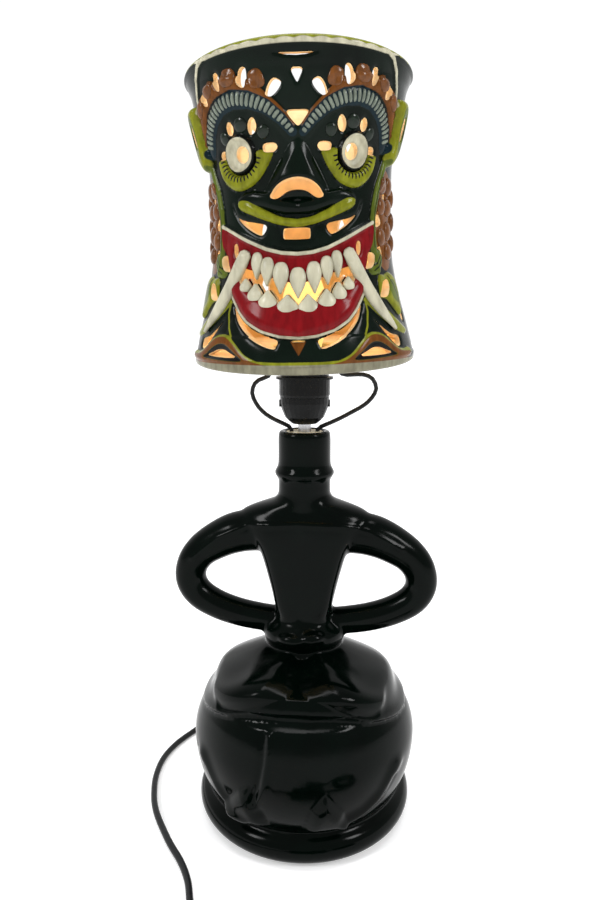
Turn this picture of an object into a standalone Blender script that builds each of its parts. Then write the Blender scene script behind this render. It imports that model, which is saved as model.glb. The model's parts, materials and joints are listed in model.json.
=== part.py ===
"""Table lamp: a black glazed ceramic figure carries a lampholder on a threaded tube,
two bent wires carry a ring, and a pierced ceramic mask shade rests on the ring.

Scene units are metres, +Z is up and the mask looks towards -Y. The origin is the centre
of the felt pad's underside, on the table. Lengths below are written in millimetres and
are turned into metres where each mesh is made.
"""

import math

import bmesh
import bpy
from mathutils import Matrix, Vector

MM = 0.001
GAP = 0.3  # clearance between pieces that touch

# Driving dimensions, in millimetres
FELT_THICK = 1.5
FELT_RADIUS = 74.0
FOOT_RADIUS = 86.0
BELLY_RADIUS = 89.0
NECK_RADIUS = 20.0
MOUTH_Z = 310.0
FIGURE_TURN = -5.0  # degrees about +Z
CORD_HOLE_Z = 13.0
CORD_RADIUS = 2.5
TUBE_RADIUS = 5.0
TUBE_BORE = 3.6
HOLDER_RADIUS = 19.4
FLANGE_Z = 350.8
WIRE_RADIUS = 1.65
RING_RADIUS = 25.0
SEAT_Z = 364.5  # centre of the shade's lower rim
SHADE_TILT = 6.0  # degrees, the top leans towards -Y
SHADE_LEAN = 1.4  # degrees, the top leans towards -X
SHADE_HEIGHT = 193.4
SHADE_WALL = 6.0
FLOOR_HOLE = 23.0
FACE_TURN = -2.0  # degrees, the face's middle about the shade's own axis
COIL_CENTRE = (98.0, -172.0)
COIL_INNER = 19.5
COIL_OUTER = 35.5
COIL_HEIGHT = 15.4
SWITCH_CENTRE = (6.0, -153.5)
PLUG_CENTRE_Y = -195.5

FIGURE_FRAME = Matrix.Rotation(math.radians(FIGURE_TURN), 4, "Z")
SEAT_FRAME = (
    Matrix.Translation((0, 0, SEAT_Z * MM))
    @ Matrix.Rotation(math.radians(-SHADE_LEAN), 4, "Y")
    @ Matrix.Rotation(math.radians(SHADE_TILT), 4, "X")
)
FACE_FRAME = SEAT_FRAME @ Matrix.Rotation(math.radians(FACE_TURN), 4, "Z")

# name: colour, roughness, metallic
MATERIALS = {
    "black_glaze": ((0.004, 0.006, 0.005), 0.08, 0.0),
    "mask_glaze": ((0.010, 0.022, 0.012), 0.15, 0.0),
    "felt": ((0.02, 0.05, 0.03), 0.95, 0.0),
    "cream_stopper": ((0.72, 0.68, 0.58), 0.6, 0.0),
    "steel": ((0.55, 0.55, 0.56), 0.3, 1.0),
    "black_plastic": ((0.012, 0.012, 0.013), 0.35, 0.0),
    "white_ceramic": ((0.80, 0.79, 0.74), 0.4, 0.0),
    "brass": ((0.72, 0.52, 0.22), 0.3, 1.0),
    "black_wire": ((0.015, 0.015, 0.016), 0.4, 0.6),
    "silicone": ((0.60, 0.58, 0.52), 0.7, 0.0),
    "glass": ((0.95, 0.93, 0.88), 0.05, 0.0),
    "filament": ((1.0, 0.62, 0.22), 0.4, 0.0),
    "black_cord": ((0.012, 0.012, 0.013), 0.5, 0.0),
}


def reset():
    """Removes every object, and makes the two collections and the materials."""
    for old in list(bpy.data.objects):
        bpy.data.objects.remove(old, do_unlink=True)
    for name in ("mask_table_lamp", "cutters"):
        collection = bpy.data.collections.new(name)
        bpy.context.scene.collection.children.link(collection)
    for name, (colour, roughness, metallic) in MATERIALS.items():
        material = bpy.data.materials.new(name)
        material.use_nodes = True
        shader = material.node_tree.nodes["Principled BSDF"]
        shader.inputs["Base Color"].default_value = (*colour, 1.0)
        shader.inputs["Roughness"].default_value = roughness
        shader.inputs["Metallic"].default_value = metallic


def place(name, data, material=None, frame=None):
    """Puts mesh or curve data into the scene; with no material it is a cutter."""
    thing = bpy.data.objects.new(name, data)
    if material:
        data.materials.append(bpy.data.materials[material])
        bpy.data.collections["mask_table_lamp"].objects.link(thing)
    else:
        thing.hide_render = True
        thing.display_type = "WIRE"
        bpy.data.collections["cutters"].objects.link(thing)
    if frame:
        thing.matrix_world = frame
    return thing


def turned(name, profile, material=None, frame=None, steps=32):
    """A turned solid. The profile (radius, height) runs down its outer side and back up
    inside; it is a closed loop, or starts and ends on the axis."""
    on_axis = profile[0][0] == 0
    count = len(profile)
    edges = [(i, (i + 1) % count) for i in range(count - 1 if on_axis else count)]
    data = bpy.data.meshes.new(name)
    data.from_pydata([(r * MM, 0, z * MM) for r, z in profile], edges, [])
    thing = place(name, data, material, frame)
    screw = thing.modifiers.new("turn", "SCREW")
    screw.steps = steps
    screw.render_steps = steps
    screw.use_merge_vertices = True
    screw.merge_threshold = 0.00001
    screw.use_smooth_shade = True
    return thing


def catmull(points, pieces):
    """Points on a smooth curve through the given ones, a number of pieces to each span."""
    ends = [2 * points[0] - points[1], *points, 2 * points[-1] - points[-2]]
    line = []
    for a, b, c, d in zip(ends, ends[1:], ends[2:], ends[3:]):
        for k in range(pieces):
            t = k / pieces
            line.append(
                0.5
                * (
                    2 * b
                    + (c - a) * t
                    + (2 * a - 5 * b + 4 * c - d) * t**2
                    + (3 * b - a - 3 * c + d) * t**3
                )
            )
    return [*line, points[-1]]


def evenly(line, step):
    """The line again, with points about one step apart along it."""
    lengths = [0.0]
    for a, b in zip(line, line[1:]):
        lengths.append(lengths[-1] + (b - a).length)
    count = max(2, round(lengths[-1] / step))
    found = []
    k = 0
    for i in range(count + 1):
        want = lengths[-1] * i / count
        while k < len(line) - 2 and lengths[k + 1] < want:
            k += 1
        share = (want - lengths[k]) / (lengths[k + 1] - lengths[k])
        found.append(line[k].lerp(line[k + 1], min(share, 1.0)))
    return found


def tube(name, route, radius, material, step, frame=None, sides=2, radii=None):
    """A round bar along a smooth curve through the route's points."""
    line = evenly(catmull([Vector(p) for p in route], 12), step)
    data = bpy.data.curves.new(name, "CURVE")
    data.dimensions = "3D"
    data.bevel_depth = radius * MM
    data.bevel_resolution = sides
    data.use_fill_caps = True
    spline = data.splines.new("POLY")
    spline.points.add(len(line) - 1)
    for k, (point, where) in enumerate(zip(spline.points, line)):
        point.co = (*(where * MM), 1.0)
        if radii:
            spot = k / (len(line) - 1) * (len(radii) - 1)
            low = min(int(spot), len(radii) - 2)
            point.radius = radii[low] + (radii[low + 1] - radii[low]) * (spot - low)
    return place(name, data, material, frame)


def solid_from(curve):
    """Replaces a curve object by a mesh object of the same shape, caps welded."""
    bpy.context.view_layer.update()
    depsgraph = bpy.context.evaluated_depsgraph_get()
    data = bpy.data.meshes.new_from_object(curve.evaluated_get(depsgraph))
    shape = bmesh.new()
    shape.from_mesh(data)
    bmesh.ops.remove_doubles(shape, verts=shape.verts, dist=0.000001)
    shape.to_mesh(data)
    shape.free()
    name = curve.name
    matrix = curve.matrix_world.copy()
    homes = list(curve.users_collection)
    bpy.data.objects.remove(curve)
    solid = bpy.data.objects.new(name, data)
    for home in homes:
        home.objects.link(solid)
    solid.matrix_world = matrix
    solid.hide_render = homes[0].name == "cutters"
    solid.display_type = "WIRE" if solid.hide_render else "TEXTURED"
    return solid


def outline(name, points, thick, material=None, frame=None, smooth=False):
    """A flat outline in the frame's XY plane, extruded to half its thickness both ways."""
    if smooth:
        closed = [Vector((*p, 0)) for p in points]
        line = catmull([*closed, closed[0]], 3)[:-1]
        points = [(p.x, p.y) for p in line]
    data = bpy.data.curves.new(name, "CURVE")
    data.dimensions = "2D"
    data.fill_mode = "BOTH"
    data.extrude = thick * MM / 2
    spline = data.splines.new("POLY")
    spline.points.add(len(points) - 1)
    for point, (x, y) in zip(spline.points, points):
        point.co = (x * MM, y * MM, 0, 1)
    spline.use_cyclic_u = True
    return solid_from(place(name, data, material, frame))


def block(name, size, centre, material=None, frame=None, bevel=0.0):
    """A box with its edges rounded by a bevel."""
    shape = bmesh.new()
    bmesh.ops.create_cube(shape, size=1.0)
    bmesh.ops.scale(shape, vec=Vector(size) * MM, verts=shape.verts)
    bmesh.ops.translate(shape, vec=Vector(centre) * MM, verts=shape.verts)
    data = bpy.data.meshes.new(name)
    shape.to_mesh(data)
    shape.free()
    thing = place(name, data, material, frame)
    if bevel:
        rounding = thing.modifiers.new("rounded_edges", "BEVEL")
        rounding.width = bevel * MM
        rounding.segments = 2
    return thing


def rod(name, radius, low, high, material=None, frame=None, sides=20):
    """A plain cylinder along its frame's Z, from one height to another."""
    shape = bmesh.new()
    bmesh.ops.create_cone(
        shape,
        cap_ends=True,
        segments=sides,
        radius1=radius * MM,
        radius2=radius * MM,
        depth=(high - low) * MM,
        matrix=Matrix.Translation((0, 0, (low + high) / 2 * MM)),
    )
    data = bpy.data.meshes.new(name)
    shape.to_mesh(data)
    shape.free()
    return place(name, data, material, frame)


def boolean(target, other, operation):
    """Adds a Boolean modifier to the target."""
    change = target.modifiers.new(other.name, "BOOLEAN")
    change.operation = operation
    change.object = other


def at(x=0.0, y=0.0, z=0.0, turn=0.0, axis="Z"):
    """A frame at a place in millimetres, turned in degrees about one axis."""
    return Matrix.Translation(Vector((x, y, z)) * MM) @ Matrix.Rotation(
        math.radians(turn), 4, axis
    )


# ---------------------------------------------------------------- the ceramic figure

# height, half width, half depth, squareness, and the saddle: the sides and the back lie
# this much lower than the height, and the front stands this much higher
FIGURE_SECTIONS = (
    (1.8, 77.0, 77.0, 2.0, 0.0),
    (3.2, 82.0, 82.0, 2.0, 0.0),
    (8.0, 85.6, 85.6, 2.0, 0.0),
    (14.0, FOOT_RADIUS, FOOT_RADIUS, 2.0, 0.0),
    (20.0, 83.0, 83.0, 2.0, 0.0),
    (23.6, 77.6, 77.6, 2.0, 0.0),
    (30.0, 80.8, 80.8, 2.0, 0.0),
    (42.0, 85.4, 85.4, 2.0, 0.0),
    (56.0, 88.3, 88.3, 2.0, 0.0),
    (70.0, BELLY_RADIUS, BELLY_RADIUS, 2.0, 0.0),
    (82.0, 87.0, 87.2, 2.0, 2.0),
    (93.0, 83.6, 83.0, 2.0, 5.0),
    (103.0, 80.4, 76.5, 2.0, 10.0),
    (104.2, 82.6, 78.8, 2.1, 10.2),
    (107.0, 80.6, 79.4, 2.1, 10.2),
    (114.0, 75.4, 76.6, 2.2, 11.5),
    (117.6, 73.6, 73.6, 2.2, 11.5),
    (123.6, 70.6, 61.0, 2.1, 9.0),
    (127.0, 66.0, 50.0, 2.0, 6.5),
    (130.6, 55.0, 42.0, 2.0, 4.5),
    (135.0, 38.5, 32.0, 2.0, 1.5),
    (138.6, 30.0, 28.0, 2.0, 0.0),
    (141.5, 31.6, 29.4, 2.0, 0.0),
    (146.5, 32.6, 31.0, 2.0, 0.0),
    (152.0, 31.4, 30.2, 2.0, 0.0),
    (157.0, 25.6, 26.2, 2.1, 0.0),
    (160.0, 21.6, 22.6, 2.5, 0.0),
    (172.0, 23.0, 21.6, 3.0, 0.0),
    (186.0, 26.0, 22.2, 3.0, 0.0),
    (200.0, 29.6, 23.0, 3.0, 0.0),
    (213.0, 33.4, 23.8, 3.0, 0.0),
    (224.0, 38.4, 24.4, 3.0, 0.0),
    (232.0, 46.0, 24.4, 2.8, 0.0),
    (239.0, 50.0, 23.8, 2.4, 0.0),
    (245.0, 50.0, 21.4, 2.2, 0.0),
    (249.0, 44.0, 20.6, 2.0, 0.0),
    (253.0, 33.0, 20.4, 2.0, 0.0),
    (256.0, 24.0, 20.3, 2.0, 0.0),
    (260.0, 20.6, 20.2, 2.0, 0.0),
    (266.0, 20.2, 20.2, 2.0, 0.0),
    (272.8, 20.4, 20.4, 2.0, 0.0),
    (275.0, 22.6, 22.6, 2.0, 0.0),
    (277.2, 23.4, 23.4, 2.0, 0.0),
    (279.6, 22.4, 22.4, 2.0, 0.0),
    (282.0, 20.6, 20.6, 2.0, 0.0),
    (308.6, NECK_RADIUS, NECK_RADIUS, 2.0, 0.0),
    (MOUTH_Z, 18.4, 18.4, 2.0, 0.0),
)

# height, half width and half depth of the hollow inside
HOLLOW_SECTIONS = (
    (9.0, 62.0, 62.0),
    (13.0, 67.0, 67.0),
    (24.0, 70.0, 70.0),
    (42.0, 78.0, 78.0),
    (70.0, 82.0, 82.0),
    (93.0, 76.0, 76.0),
    (108.0, 66.0, 64.0),
    (120.0, 42.0, 40.0),
    (136.0, 22.0, 20.0),
    (152.0, 18.0, 16.0),
    (172.0, 17.0, 14.5),
    (213.0, 29.0, 16.5),
    (234.0, 32.0, 16.5),
    (252.0, 15.5, 14.3),
    (262.0, 14.3, 14.3),
    (MOUTH_Z + 5.0, 14.3, 14.3),
)

# the arm's middle line (x, z) from the shoulder to the waist, and its thickness along it
ARM_LINE = (
    (24, 229),
    (40, 229.4),
    (56, 226.4),
    (71, 219.4),
    (83.4, 210.6),
    (91, 199),
    (92, 186),
    (85, 174.6),
    (71, 166),
    (55, 160.4),
    (38, 157),
    (20, 155),
)
ARM_RADIUS = 11.6
ARM_SCALES = (1.46, 1.46, 1.42, 1.3, 1.17, 1.1, 1.07, 1.04, 1.0, 0.98, 0.96, 0.92)


def lofted(name, sections, around, material=None, frame=None):
    """A closed loft through oval sections (height, half width, half depth, squareness,
    saddle); a squareness of 2 is an ellipse, and more is squarer."""
    shape = bmesh.new()
    rings = []
    for z, wide, deep, square, saddle in sections:
        ring = []
        for k in range(around):
            angle = 2 * math.pi * k / around
            cos, sin = math.cos(angle), math.sin(angle)
            x = wide * math.copysign(abs(cos) ** (2 / square), cos)
            y = deep * math.copysign(abs(sin) ** (2 / square), sin)
            height = z - saddle * (math.cos(2 * angle) if math.sin(angle) < 0 else 1)
            ring.append(shape.verts.new(Vector((x, y, height)) * MM))
        rings.append(ring)
    for low, high in zip(rings, rings[1:]):
        for k in range(around):
            j = (k + 1) % around
            shape.faces.new((low[k], low[j], high[j], high[k]))
    shape.faces.new(list(reversed(rings[0])))
    shape.faces.new(rings[-1])
    data = bpy.data.meshes.new(name)
    shape.to_mesh(data)
    shape.free()
    data.shade_smooth()
    return place(name, data, material, frame)


def make_figure():
    body = lofted("figure_body", FIGURE_SECTIONS, 38, "black_glaze", FIGURE_FRAME)
    for side, sign in (("left", -1), ("right", 1)):
        route = [(sign * x, 0, z) for x, z in ARM_LINE]
        arm = tube(f"arm_{side}", route, ARM_RADIUS, None, 11, FIGURE_FRAME, 3, ARM_SCALES)
        boolean(body, solid_from(arm), "UNION")
    hollow = [(z, wide, deep, 2.0, 0.0) for z, wide, deep in HOLLOW_SECTIONS]
    boolean(body, lofted("figure_hollow", hollow, 22, None, FIGURE_FRAME), "DIFFERENCE")
    drill = FIGURE_FRAME @ at(z=CORD_HOLE_Z, turn=-90, axis="X")
    boolean(body, rod("cord_hole", 5.2, 50, 100, None, drill), "DIFFERENCE")
    turned(
        "foot_felt",
        ((0, FELT_THICK), (FELT_RADIUS, FELT_THICK), (FELT_RADIUS, 0), (0, 0)),
        "felt",
        steps=48,
    )


# --------------------------------------------- stopper, threaded tube and lampholder


def make_stopper():
    stopper = turned(
        "neck_stopper",
        ((13.9, 308.8), (13.5, 284.0), (5.35, 284.0), (5.35, 308.8)),
        "cream_stopper",
    )
    for side, sign in (("left", -1), ("right", 1)):
        hole = rod(f"wire_hole_{side}", WIRE_RADIUS + GAP, 292, 320, None, at(x=sign * 10))
        boolean(stopper, hole, "DIFFERENCE")
    turned(
        "threaded_tube",
        ((TUBE_RADIUS, 321.5), (TUBE_RADIUS, 272), (TUBE_BORE, 272), (TUBE_BORE, 321.5)),
        "steel",
        steps=20,
    )
    turned(
        "stopper_washer",
        ((12, 283.7), (12, 282.2), (5.4, 282.2), (5.4, 283.7)),
        "steel",
        steps=20,
    )
    turned("stopper_nut", ((8.6, 281.9), (8.6, 277), (6.2, 277), (6.2, 281.9)), "steel", steps=6)


def make_holder():
    cap = turned(
        "holder_cap",
        (
            (18.7, 335.3),
            (18.7, 331.0),
            (17.8, 327.0),
            (16.8, 324.4),
            (15.0, 320.2),
            (12.4, 317.4),
            (9.6, 315.2),
            (5.4, 314.6),
            (5.4, 317.4),
            (9.2, 318.4),
            (12.2, 320.8),
            (14.4, 324.4),
            (15.8, 328.5),
            (16.0, 335.3),
        ),
        "black_plastic",
        steps=28,
    )
    for side, sign in (("left", -1), ("right", 1)):
        lug = block(f"cap_lug_{side}", (2.4, 5.0, 5.2), (sign * 18.2, 0, 330.6))
        boolean(cap, lug, "UNION")
    turned(
        "holder_skirt",
        (
            (17.6, 373.0),
            (18.4, 372.2),
            (18.4, FLANGE_Z + 0.4),
            (21.8, FLANGE_Z),
            (21.8, FLANGE_Z - 1.8),
            (HOLDER_RADIUS, FLANGE_Z - 2.0),
            (HOLDER_RADIUS, 337.4),
            (18.7, 335.6),
            (16.2, 335.6),
            (16.2, 373.0),
        ),
        "black_plastic",
        steps=32,
    )
    turned(
        "terminal_block",
        ((0, 341.0), (15.2, 341.0), (15.2, 330.0), (12.6, 325.6), (12.6, 323.6), (0, 323.6)),
        "white_ceramic",
        steps=24,
    )
    pitch = 3.63
    outer = [(14.6 + 0.4 * (k % 2), 367.8 - k * pitch / 2) for k in range(13)]
    inner = [(r - 0.6, z) for r, z in reversed(outer)]
    turned("screw_shell", [*outer, *inner], "brass", steps=20)
    contact = ((-7, 0), (7, 0), (7, 0.6), (1, 0.6), (6, 2.8), (5.6, 3.3), (-1, 0.6), (-7, 0.6))
    outline("centre_contact", contact, 4.0, "brass", at(z=341.3, turn=90, axis="X"))
    for side, sign in (("front", -1), ("back", 1)):
        rod(f"terminal_screw_{side}", 2.1, 341.3, 343.2, "steel", at(y=sign * 9), 12)


# ------------------------------------------------------------------ the bent carrier

WIRE_LEFT = (
    (-10, 0, 294),
    (-10, 0, 302),
    (-10, 0, 309.6),
    (-11.2, 0, 312),
    (-14, 0, 313.8),
    (-18.1, 0, 315.6),
    (-26.5, 0, 319.9),
    (-32.6, 0, 324.6),
    (-37.2, 0, 330.6),
    (-40, 0, 338),
    (-38.2, 0, 345),
    (-33.9, 0, 348.6),
    (-29, 0, 350.2),
    (-25.8, 0, 353),
    (-25, 0, 357.5),
    (-25, 0, 362),
)
WIRE_RIGHT = (
    (10, 0, 294),
    (10, 0, 302),
    (10, 0, 309.6),
    (11.4, 0, 311.8),
    (15, 0, 313.4),
    (21.1, 0, 316),
    (28.7, 0, 319.6),
    (36.3, 0, 323.7),
    (44, 0, 328),
    (50.2, 0, 333.2),
    (54.6, 0, 341),
    (52, 0, 348.6),
    (46.6, 0, 351.8),
    (40, 0, 352.4),
    (32, 0, 352),
    (26.4, 0, 353.8),
    (25, 0, 358),
    (25, 0, 363.2),
)
RING_LEVEL = 0.3  # the ring's middle above the shade's lower rim, along the shade's axis


def make_carrier():
    tube("carrier_wire_left", WIRE_LEFT, WIRE_RADIUS, "black_wire", 4)
    tube("carrier_wire_right", WIRE_RIGHT, WIRE_RADIUS, "black_wire", 4)
    ring = [
        (
            RING_RADIUS + WIRE_RADIUS * math.cos(math.tau * k / 8),
            RING_LEVEL - WIRE_RADIUS * math.sin(math.tau * k / 8),
        )
        for k in range(8)
    ]
    turned("carrier_ring", ring, "black_wire", SEAT_FRAME)


# ------------------------------------------------------------------------- the bulb


def make_bulb():
    contact = ((0, 346.4), (4.4, 346.4), (3.6, 345.2), (0, 345.0))
    turned("bulb_contact", contact, "brass", steps=16)
    insulator = ((0, 350.2), (11.4, 350.2), (5.0, 346.7), (0, 346.7))
    turned("bulb_insulator", insulator, "black_plastic", steps=20)
    pitch = 3.63
    thread = [(13.15 - 0.6 * (k % 2), 370.2 - k * pitch / 2) for k in range(11)]
    inner = [(r - 0.5, z) for r, z in reversed(thread)]
    turned("bulb_cap", [*thread, *inner], "brass", steps=20)
    glass = (
        (0, 446.0),
        (2.2, 444.6),
        (6.2, 436.5),
        (11.2, 425.0),
        (15.6, 412.5),
        (17.5, 401.0),
        (17.0, 391.0),
        (14.4, 380.0),
        (12.9, 374.0),
        (12.8, 370.5),
    )
    inside = [(max(r - 0.9, 0), z - 0.9 if r == 0 else z) for r, z in reversed(glass)]
    turned("bulb_glass", [*glass, *inside], "glass", steps=24)
    turned(
        "bulb_stem",
        ((0, 396), (2.6, 395), (3.0, 380), (9.8, 372.6), (9.8, 371.2), (0, 371.2)),
        "glass",
        steps=20,
    )
    loop = ((-1.4, 0, 396.6), (-6, 0, 406), (-5, 2, 418), (0, 3, 424), (5, 2, 418), (6, 0, 406))
    route = [*loop, (1.4, 0, 396.6)]
    tube("bulb_filament", route, 0.7, "filament", 3.0)


# ------------------------------------------------------------------------ the shade

SHADE_OUTER = (
    (76.6, SHADE_HEIGHT + 5.0),
    (76.4, 190.6),
    (75.4, 182.0),
    (69.9, 159.0),
    (66.2, 144.0),
    (64.2, 126.0),
    (64.1, 108.0),
    (65.0, 82.0),
    (68.0, 60.0),
    (71.4, 45.0),
    (75.0, 30.0),
    (79.2, 14.0),
    (81.4, 6.0),
    (80.8, 0.0),
)
FLOOR_LOW = 4.0
FLOOR_HIGH = 10.0
RIM_MIDDLE = 187.4  # the rim's height at the sides and behind
RIM_SLOPE = -6.2  # degrees about X: the rim rises over the face

# Openings through the clay: angle from the face's middle (degrees), height up the shade,
# and an outline about that spot (to the side, up), all for the +X half. Pairs are mirrored.
PAIRED_OPENINGS = {
    "brow_inner": (10.6, 169.7, ((-5, 2), (-1, 6.5), (3, 5.5), (5, -1), (1, -6.5))),
    "brow_middle": (25.7, 176.0, ((-4, 0), (-2, 6.5), (0, 8), (4, 1), (2.6, -6.5), (-2.6, -6.5))),
    "brow_outer": (40.9, 176.4, ((-4, -1), (-1, 7), (3, 5), (4, -1), (1, -7))),
    "brow_end": (52.7, 169.0, ((-4, 0), (0, 5.5), (4, 2), (2, -5.5))),
    "eye": (31.6, 135.0, ((-5, 0), (-3.5, 4), (0, 5), (3.5, 4), (5, 0), (3.5, -4), (0, -5), (-3.5, -4))),
    "lid_inner": (15.2, 137.6, ((-6, -1), (-1, 6), (6, 3), (5, -5), (-3, -5))),
    "lid_middle": (24.0, 150.2, ((-4, 1), (0, 8), (4.6, 1), (3, -7), (-3.6, -5.5))),
    "lid_outer": (38.4, 150.2, ((-3.6, 0), (0, 7.5), (3.6, 2), (2, -7), (-2, -6))),
    "lid_end": (46.0, 136.7, ((-3, -4.5), (-3, 4.5), (3, 4.5), (3, -4.5))),
    "cheek": (29.0, 96.5, ((-14, -8), (-11, -2.6), (0, -0.5), (14, 12), (5, -4), (-10, -10.5))),
    "gum": (39.3, 79.3, ((-2, -2), (0, 7), (2, 3), (2, -6), (0.4, -7))),
    "chin": (22.5, 29.5, ((-13, -9), (-12, -14), (-2, -9.5), (9, 0), (15, 12), (4, 0), (-4, -5.5))),
    "wing": (41.6, 11.4, ((-10, -2), (-2, 2.8), (4, 2.4), (10, -2.2))),
    "slit": (53.6, 20.6, ((-12, 9), (0, 0), (7, -9), (11, -8), (9, -1), (2, 3))),
    "leaf": (56.0, 49.0, ((-2, 8), (2, 2), (2, -8), (-1.6, -4))),
    "cheek_side": (52.0, 68.0, ((-2.4, 8), (1.6, 9), (2.6, 0), (1, -9), (-2, -4))),
    "side_low": (68.0, 74.0, ((-3, 7), (2, 10), (4, 0), (1, -9), (-3, -5))),
    "side_high": (68.0, 103.0, ((-3, 6), (1, 9), (3.6, 0), (1, -9), (-3, -5))),
    "side_base": (75.0, 36.0, ((-3, 9), (3, 9), (4, 0), (2, -9), (-3, -6))),
    "side_top": (72.0, 147.0, ((-3.6, 5), (1, 9), (3.6, 0), (1, -9), (-3, -5))),
}
MIDDLE_OPENINGS = {
    "forehead_slot": (185.2, ((-12, 1.4), (0, 0.4), (12, 1.4), (6, -0.4), (0, -0.9), (-6, -0.4))),
    "forehead_drop": (174.8, ((-3.6, 4), (3.6, 4), (0, -4))),
    "bridge": (152.6, ((-7, 4.4), (7, 4.4), (0, -4.6))),
    "nose": (114.5, (
        (-16, -5), (-13.5, -7.5), (-6, -1.5), (0, 0), (6, -1.5), (13.5, -7.5), (16, -5),
        (9, 3.2), (0, 5.6), (-9, 3.2),
    )),
    "lip_gap": (87.1, ((-9.4, -3.8), (-9.4, 3.8), (9.4, 3.8), (9.4, -3.8))),
    "teeth_gap": (52.6, (
        (-33, 16), (-29, 6), (-23, 11), (-19, 1), (-13, 5), (-7.5, -6), (0, -1.5), (7.5, -6),
        (13, 5), (19, 1), (23, 11), (29, 6), (33, 16), (28, 0), (22, 4.6), (16, -6), (11, -2),
        (4, -12), (0, -7.5), (-4, -12), (-11, -2), (-16, -6), (-22, 4.6), (-28, 0),
    )),
    "chin_drop": (18.0, ((-5, 3.6), (5, 3.6), (0, -4.4))),
}
# rows of slots behind: height, how many, and degrees between them; none in the middle
BACK_ROWS = ((160.0, 6, 22.0), (128.0, 6, 20.0), (92.0, 6, 20.0), (50.0, 6, 20.0))
BACK_CLEAR = 20.0
BACK_SLOT = ((-4, 0), (-2.6, 7), (0, 10), (2.6, 7), (4, 0), (2.6, -7), (0, -10), (-2.6, -7))


def shade_radius(height):
    """The shade's outer radius at a height above its lower rim."""
    for (r1, z1), (r2, z2) in zip(SHADE_OUTER, SHADE_OUTER[1:]):
        if z2 <= height <= z1:
            return r2 + (r1 - r2) * (height - z2) / (z1 - z2)
    return SHADE_OUTER[-1][0]


def opening(name, angle, height, points):
    """A cutter straight through the wall, facing out at an angle round from the face."""
    reach = shade_radius(height) - SHADE_WALL / 2
    outward = at(turn=angle) @ at(y=-reach, z=height, turn=90, axis="X")
    return outline(name, points, 24.0, None, FACE_FRAME @ outward)


def make_shade():
    inner = [(r - SHADE_WALL, z) for r, z in reversed(SHADE_OUTER) if z > FLOOR_HIGH]
    profile = [
        *SHADE_OUTER,
        (74.2, 0.0),
        (73.4, FLOOR_LOW),
        (FLOOR_HOLE, FLOOR_LOW),
        (FLOOR_HOLE, FLOOR_HIGH),
        (shade_radius(FLOOR_HIGH) - SHADE_WALL, FLOOR_HIGH),
        *inner,
    ]
    shade = turned("mask_shade", profile, "mask_glaze", FACE_FRAME, steps=46)
    rim_plane = FACE_FRAME @ at(z=RIM_MIDDLE, turn=RIM_SLOPE, axis="X")
    cutters = [
        block("above_front_rim", (200.0, 100.0, 40.0), (0, -50.0, 20.0), None, rim_plane),
        block("above_back_rim", (200.0, 100.1, 40.0), (0, 50.0, RIM_MIDDLE + 20.0), None, FACE_FRAME),
    ]
    for name, (angle, height, points) in PAIRED_OPENINGS.items():
        mirrored = [(-x, y) for x, y in reversed(points)]
        cutters.append(opening(f"{name}_right", angle, height, points))
        cutters.append(opening(f"{name}_left", -angle, height, mirrored))
    for name, (height, points) in MIDDLE_OPENINGS.items():
        cutters.append(opening(name, 0.0, height, points))
    for row, (height, count, spacing) in enumerate(BACK_ROWS):
        for k in range(count):
            angle = 180 + (k - (count - 1) / 2) * spacing
            if abs(angle - 180) < BACK_CLEAR:
                continue
            cutters.append(opening(f"back_{row}_{k}", angle, height, BACK_SLOT))
    for cutter in cutters:
        boolean(shade, cutter, "DIFFERENCE")
    low = RING_LEVEL + WIRE_RADIUS + GAP
    high = FLOOR_LOW - GAP
    turned("shade_gasket", ((28, high), (28, low), (23.4, low), (23.4, high)), "silicone", SEAT_FRAME)


# -------------------------------------------------------- the cord and what is on it

GROMMET_END = 112.0
INNER_ROUTE = (
    (0, 0, 323),
    (0, 0, 300),
    (0, 0, 270),
    (0, 0, 200),
    (0, 2, 130),
    (0, 14, 70),
    (0, 34, 30),
    (0, 52, 16),
    (0, 66, CORD_HOLE_Z),
)
CORD_ROUTE = (
    (9.79, 111.9, 13),
    (10.9, 124, 12.2),
    (11, 137, 9.6),
    (6, 149, 6.2),
    (-8, 158, 3.4),
    (-27, 159, 2.8),
    (-50, 149, 2.8),
    (-72, 130, 2.8),
    (-90, 107, 2.8),
    (-104.9, 86.4, 2.8),
    (-119, 65, 2.8),
    (-127, 44, 2.8),
    (-129.2, 22, 2.8),
    (-127, 0, 2.8),
    (-120, -26, 2.8),
    (-104.1, -57.7, 2.8),
    (-90.5, -79.5, 2.8),
    (-82.5, -97, 2.8),
    (-78.2, -114, 2.8),
    (-73, -131, 2.8),
    (-62, -145, 3.4),
    (-52, -151, 5.8),
    (-44.5, -153.4, 7.5),
    (-38.4, -153.5, 7.6),
)
COIL_LEAD = ((50.4, -153.5, 7.6), (55, -153.3, 7.3), (60, -152.2, 5.4), (66, -149.4, 3.6))
PLUG_LEAD = ((68, -199.4, 9.6), (64, -197.2, 8.8), (60, -195.6, 7.7), (56.4, -195.5, 7.6))


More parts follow.
